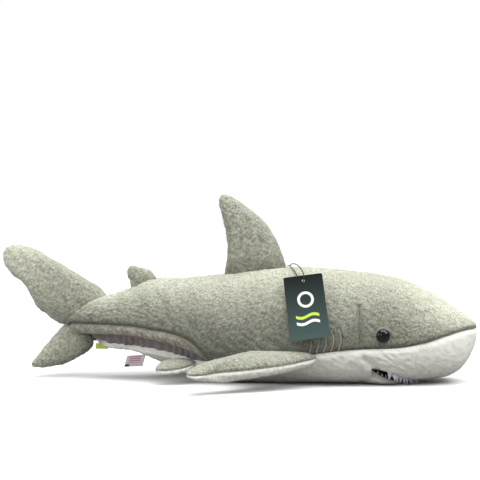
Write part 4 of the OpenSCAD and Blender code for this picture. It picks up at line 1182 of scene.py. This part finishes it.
# %% Roof of the mouth
def lip_point(s, deep=3.6):
    return skin(s, np.minimum(lip_edge(s), 176), deep)


PALATE = [[.742, .85], [.77, 1], [.8, 1], [.835, .75], [.858, .35], [.87, .1]]


def make_palate():
    s = np.linspace(0.742, MOUTH_END_S, 60)
    v = np.linspace(-1, 1, 40)
    lip = lip_point(s)
    z, y = lip[:, 2], -lip[:, 1]
    high = np.maximum(0, 26 - z) * curve(PALATE, s)
    crumple = 0.7 * np.sin(v * 9)[None] * np.sin(np.linspace(0, 9, 60))[:, None]
    grid = np.stack([np.repeat(x_at(s)[:, None], 40, 1), v[None] * y[:, None] * 1.02,
                     z[:, None] + (high[:, None] + crumple) * (1 - v[None] ** 4)], -1)
    obj = new_object("palate_cloth", grid.reshape(-1, 3), grid_faces(60, 40))
    smooth(obj)
    obj.data.materials.append(red)
    return obj


palate = make_palate()
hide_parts("palate_lining")
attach(palate, "trunk")

# %% [markdown]
# The teeth are small felt points in a row along each lip. Geometry Nodes put them there: a line
# of edges becomes a curve, the curve gives evenly spaced points with a tangent, and a flattened
# cone stands on each. A fixed seed tips them a little, and the row is then made a plain mesh.

# %% Geometry Nodes: a row of teeth on a line
def geo_tree(name, inputs):
    tree = bpy.data.node_groups.new(name, "GeometryNodeTree")
    tree.interface.new_socket("Geometry", in_out="INPUT", socket_type="NodeSocketGeometry")
    for label, kind, value in inputs:
        tree.interface.new_socket(label, in_out="INPUT", socket_type=kind).default_value = value
    tree.interface.new_socket("Geometry", in_out="OUTPUT", socket_type="NodeSocketGeometry")
    return tree, tree.nodes.new("NodeGroupInput").outputs, tree.nodes.new("NodeGroupOutput").inputs


def set_in_row(tree, spots, piece, tip, mat, pivot="AUTO", scale=(1, 1, 1)):
    """Lays the piece on every spot along the line, tipped a little at random, as real faces."""
    aim = node(tree, "FunctionNodeAlignRotationToVector", {"Vector": spots.outputs["Tangent"]},
               axis="X", pivot_axis=pivot)
    lean = node(tree, "FunctionNodeRandomValue", {"Seed": gin["Seed"]}, data_type="FLOAT_VECTOR")
    lean.inputs["Min"].default_value = tuple(-v for v in tip)
    lean.inputs["Max"].default_value = tip
    tipped = node(tree, "FunctionNodeRotateRotation", {
        "Rotation": aim.outputs[0], "Rotate By": lean.outputs["Value"]}, rotation_space="LOCAL")
    row = node(tree, "GeometryNodeInstanceOnPoints", {
        "Points": spots.outputs[0], "Instance": piece.outputs[0],
        "Rotation": tipped.outputs[0], "Scale": scale})
    real = node(tree, "GeometryNodeRealizeInstances", {0: row.outputs[0]})
    skinned = node(tree, "GeometryNodeSetMaterial", {"Geometry": real.outputs[0], "Material": mat})
    tree.links.new(skinned.outputs[0], gout["Geometry"])


INT = "NodeSocketInt"
teeth_tree, gin, gout = geo_tree("row_of_teeth", [
    ("Count", INT, 20), ("Width", FLOAT, 0.0046), ("Height", FLOAT, 0.006),
    ("Thickness", FLOAT, 0.0016), ("Up", FLOAT, -1.0), ("Seed", INT, 4)])
line = node(teeth_tree, "GeometryNodeMeshToCurve", {0: gin["Geometry"]})
spots = node(teeth_tree, "GeometryNodeCurveToPoints", {"Curve": line.outputs[0], "Count": gin["Count"]},
             mode="COUNT")
half_w = node(teeth_tree, "ShaderNodeMath", {0: gin["Width"], 1: 0.56}, operation="MULTIPLY")
tooth = node(teeth_tree, "GeometryNodeMeshCone",
             {"Vertices": 10, "Side Segments": 3, "Radius Top": 0.0003,
              "Radius Bottom": half_w.outputs[0], "Depth": gin["Height"]})
thin = node(teeth_tree, "ShaderNodeMath", {0: gin["Thickness"], 1: gin["Width"]}, operation="DIVIDE")
sizes = node(teeth_tree, "ShaderNodeCombineXYZ", {0: 1.0, 1: thin.outputs[0], 2: gin["Up"]})
shaped = node(teeth_tree, "GeometryNodeTransform", {"Geometry": tooth.outputs[0],
                                                    "Scale": sizes.outputs[0]})
set_in_row(teeth_tree, spots, shaped, (.16, .14, .12), felt, pivot="Z")


def grown(name, tree, points, **values):
    """Runs a tree on a line of points and keeps the result as a plain mesh."""
    host = bpy.data.objects.new(name, bpy.data.meshes.new(name))
    host.data.from_pydata([tuple(np.array(p) * MM) for p in points],
                          [(i, i + 1) for i in range(len(points) - 1)], [])
    bpy.context.scene.collection.objects.link(host)
    mod = host.modifiers.new(tree.name, "NODES")
    mod.node_group = tree
    for item in tree.interface.items_tree:
        if item.in_out == "INPUT" and item.name in values:
            mod[item.identifier] = values[item.name]
    applied(host)
    return host


# %% Teeth on both lips
MOUTH_MIDDLE, MOUTH_REACH, LOWEST = (205, 0), 45, 0.4  # points that reach lower splay outward


def upper_line():
    t = np.linspace(0, 1, 80)
    s = 0.79 + (MOUTH_END_S - 0.006 - 0.79) * np.sin(np.pi * np.minimum(t, 1 - t)) ** 0.9
    lip = lip_point(s, 0.2)
    side = np.where(t <= 0.5, -1, 1)
    y = side * (-lip[:, 1] + 0.6) * np.abs(np.cos(np.pi / 2 * (1 - np.abs(1 - 2 * t)))) ** 0.25
    return np.stack([x_at(s) + 1.0, y, np.maximum(lip[:, 2] + 1.2, 7.0)], 1)


def lower_line():
    a = np.linspace(0.02, np.pi - 0.02, 60)
    q = 0.2 + 0.72 * np.sin(a) ** 0.8
    return np.stack([JAW_X + q * (JAW_LEN - 2.6) - 1.5, -(jaw_half(q) - 4.5) * np.cos(a),
                     jaw_lip(q) + 2.4], 1)


upper = grown("upper_tooth_row", teeth_tree, upper_line(), Count=24, Width=0.0066, Height=0.0092,
              Thickness=0.0024, Up=-1.0, Seed=4)
lower = grown("lower_tooth_row", teeth_tree, lower_line(), Count=16, Width=0.0042, Height=0.0042,
              Thickness=0.0018, Up=1.0, Seed=9)
for obj, node_name, body in ((upper, "upper_teeth", "trunk"), (lower, "lower_teeth", "lower_jaw")):
    p = points_of(obj.data)
    sunk = np.maximum(LOWEST - p[:, 2], 0)
    p[:, :2] += (p[:, :2] - MOUTH_MIDDLE) / MOUTH_REACH * sunk[:, None]
    p[:, 2] = np.maximum(p[:, 2], LOWEST)
    set_points(obj.data, p)
    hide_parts(node_name)
    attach(obj, body)
    print(obj.name, len(obj.data.polygons), "faces")

# %% [markdown]
# A safety eye is one turned piece of black plastic: a dome over a thin flange, drawn tight to
# the cloth by a washer inside. Its profile is spun round its own axis and then set on the head.

# %% Eyes
EYE_S, EYE_A, EYE_YAW, EYE_PITCH, EYE_PROUD = 0.775, 85.5, 12, 84, 0.9


def spin(name, profile, mat, sides=64):
    r, h = np.array(profile, float).T
    a = np.arange(sides) * 2 * np.pi / sides
    p = np.stack([r[:, None] * np.cos(a), r[:, None] * np.sin(a), np.repeat(h[:, None], sides, 1)], -1)
    faces = []
    for i in range(len(r) - 1):
        for j in range(sides):
            k = (j + 1) % sides
            faces.append((i * sides + j, i * sides + k, (i + 1) * sides + k, (i + 1) * sides + j))
    verts = p.reshape(-1, 3)
    faces.append(tuple(reversed(range(sides))))
    faces.append(tuple((len(r) - 1) * sides + j for j in range(sides)))
    obj = new_object(name, verts, faces)
    smooth(obj)
    obj.data.materials.append(mat)
    return obj


t = np.linspace(0, math.pi / 2 * 0.97, 18)
dome = [(7.4, -0.9), (8.7, -0.7), (9.0, -0.2), (8.9, 0.3), (8.55, 0.55)]
dome += [(8.5 * math.cos(x), 0.6 + 4.6 * math.sin(x)) for x in t]
for side, sign in (("right", 1), ("left", -1)):
    eye = spin("eye_dome_" + side, dome, glossy)
    turned = (Matrix.Rotation(math.radians(sign * EYE_YAW), 3, "Z")
              @ Matrix.Rotation(math.radians(sign * EYE_PITCH), 3, "X"))
    outward = np.array(turned @ Vector((0, 0, 1)))
    at = skin(EYE_S, EYE_A, 0.0) * [1, sign, 1] + outward * EYE_PROUD
    set_points(eye.data, points_of(eye.data) @ np.array(turned).T + at)
    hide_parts("eye_" + side)
    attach(eye, "trunk")
    print("eye", side, at.round(1))

# %% [markdown]
# Five bowed lines of tan thread draw the gills. Each is a real row of stitches: Geometry Nodes
# walk along the line and lay one short, rounded stitch after another, end to end. A shallow
# groove is pressed into the plush under them, and the thread stands a little proud of the pile.

# %% Geometry Nodes: a row of stitches
stitch_tree, gin, gout = geo_tree("row_of_stitches", [
    ("Spacing", FLOAT, 0.0024), ("Length", FLOAT, 0.0026), ("Thickness", FLOAT, 0.0015),
    ("Seed", INT, 2)])
line = node(stitch_tree, "GeometryNodeMeshToCurve", {0: gin["Geometry"]})
spots = node(stitch_tree, "GeometryNodeCurveToPoints", {"Curve": line.outputs[0],
                                                        "Length": gin["Spacing"]}, mode="LENGTH")
ball = node(stitch_tree, "GeometryNodeMeshUVSphere", {"Segments": 8, "Rings": 5, "Radius": 0.5})
body = node(stitch_tree, "ShaderNodeCombineXYZ", {0: gin["Length"], 1: gin["Thickness"],
                                                  2: gin["Thickness"]})
set_in_row(stitch_tree, spots, ball, (0, .12, .12), thread_mat, scale=body.outputs[0])


# %% Gill stitches on both sides
def joined(name, objs):
    """Several meshes as one object."""
    with bpy.context.temp_override(active_object=objs[0], selected_editable_objects=objs,
                                   selected_objects=objs):
        bpy.ops.object.join()
    objs[0].name = name
    return objs[0]


for side, sign in (("right", 1), ("left", -1)):
    rows = []
    for i in range(GILL_N):
        s, a = gill_line(i, 24)
        p = (skin(s, a, -GILL_PROUD) + puff(s, a)) * [1, sign, 1]
        rows.append(grown(f"gill_{side}_{i}", stitch_tree, p, Seed=i + 2))
    stitches = joined("gill_thread_" + side, rows)
    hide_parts("gill_stitches_" + side)
    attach(stitches, "trunk")
    print(stitches.name, len(stitches.data.polygons), "faces")

# %% [markdown]
# Inside, four CAD solids stay as they are: the filling of the jaw, the lining of the glove pocket
# and the washers that hold the eyes. They only need a true finish for whoever looks in.

# %% Finish of the inner pieces
for name, mat in (("hand_lining", mauve), ("jaw_pad", fill_mat),
                  ("eye_washer_right", washer_mat), ("eye_washer_left", washer_mat)):
    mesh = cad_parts[name].data
    mesh.materials.clear()
    mesh.materials.append(mat)
print("shown CAD nodes", sorted(n for n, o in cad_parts.items() if not o.hide_render))

# %% [markdown]
# The floor and the light are a pale sweep and soft boxes. Most of the light falls from above,
# so the back is bright and the flank shades off toward the floor. Only the camera sees the
# sweep at its full white; for the rest of the light it is a grey card, which keeps the shade.

# %% Floor and light
floor = new_object("floor", [(-3000, -3000, 0), (3000, -3000, 0), (3000, 3000, 0), (-3000, 3000, 0)],
                   [(0, 1, 2, 3)])
floor_mat, tree, shader = new_material("pale_floor", 0.9, Specular_IOR_Level=0.0)
seen = node(tree, "ShaderNodeLightPath").outputs["Is Camera Ray"]
tree.links.new(blend_colours(tree, seen, (0.3, 0.3, 0.29, 1), (0.97, 0.97, 0.97, 1)),
               shader.inputs["Base Color"])
floor.data.materials.append(floor_mat)
world = bpy.data.worlds.new("studio")
bpy.context.scene.world = world
world.use_nodes = True
tree = world.node_tree
sky = tree.nodes["Background"]
sky.inputs["Color"].default_value = (1, 1, 1, 1)
seen = node(tree, "ShaderNodeLightPath").outputs["Is Camera Ray"]
tree.links.new(node(tree, "ShaderNodeMapRange", {0: seen, 3: 0.3, 4: 1.0}).outputs[0],
               sky.inputs["Strength"])


def soft_box(name, where, power, size, colour=(1, 1, 1), aim=(0, 0, 0.08)):
    lamp = bpy.data.lights.new(name, "AREA")
    lamp.energy, lamp.size, lamp.color = power, size, colour
    obj = bpy.data.objects.new(name, lamp)
    bpy.context.scene.collection.objects.link(obj)
    obj.location = where
    obj.rotation_euler = (Vector(aim) - Vector(where)).to_track_quat("-Z", "Y").to_euler()


sky_light = bpy.data.lights.new("overhead", "SUN")
sky_light.energy, sky_light.angle, sky_light.color = 3.3, math.radians(60), (1, 1, 0.99)
overhead = bpy.data.objects.new("overhead", sky_light)
bpy.context.scene.collection.objects.link(overhead)
overhead.rotation_euler = (math.radians(8), math.radians(6), 0)
soft_box("front", (-0.2, -2.4, 1.0), 4, 1.0)
soft_box("tail_light", (-0.75, -0.6, 0.5), 3.4, 0.4, aim=(-0.27, 0, 0.13))
soft_box("nose_light", (0.75, -0.4, 0.62), 3.0, 0.4, aim=(0.27, 0, 0.1))
bpy.context.scene.view_settings.view_transform = "Standard"
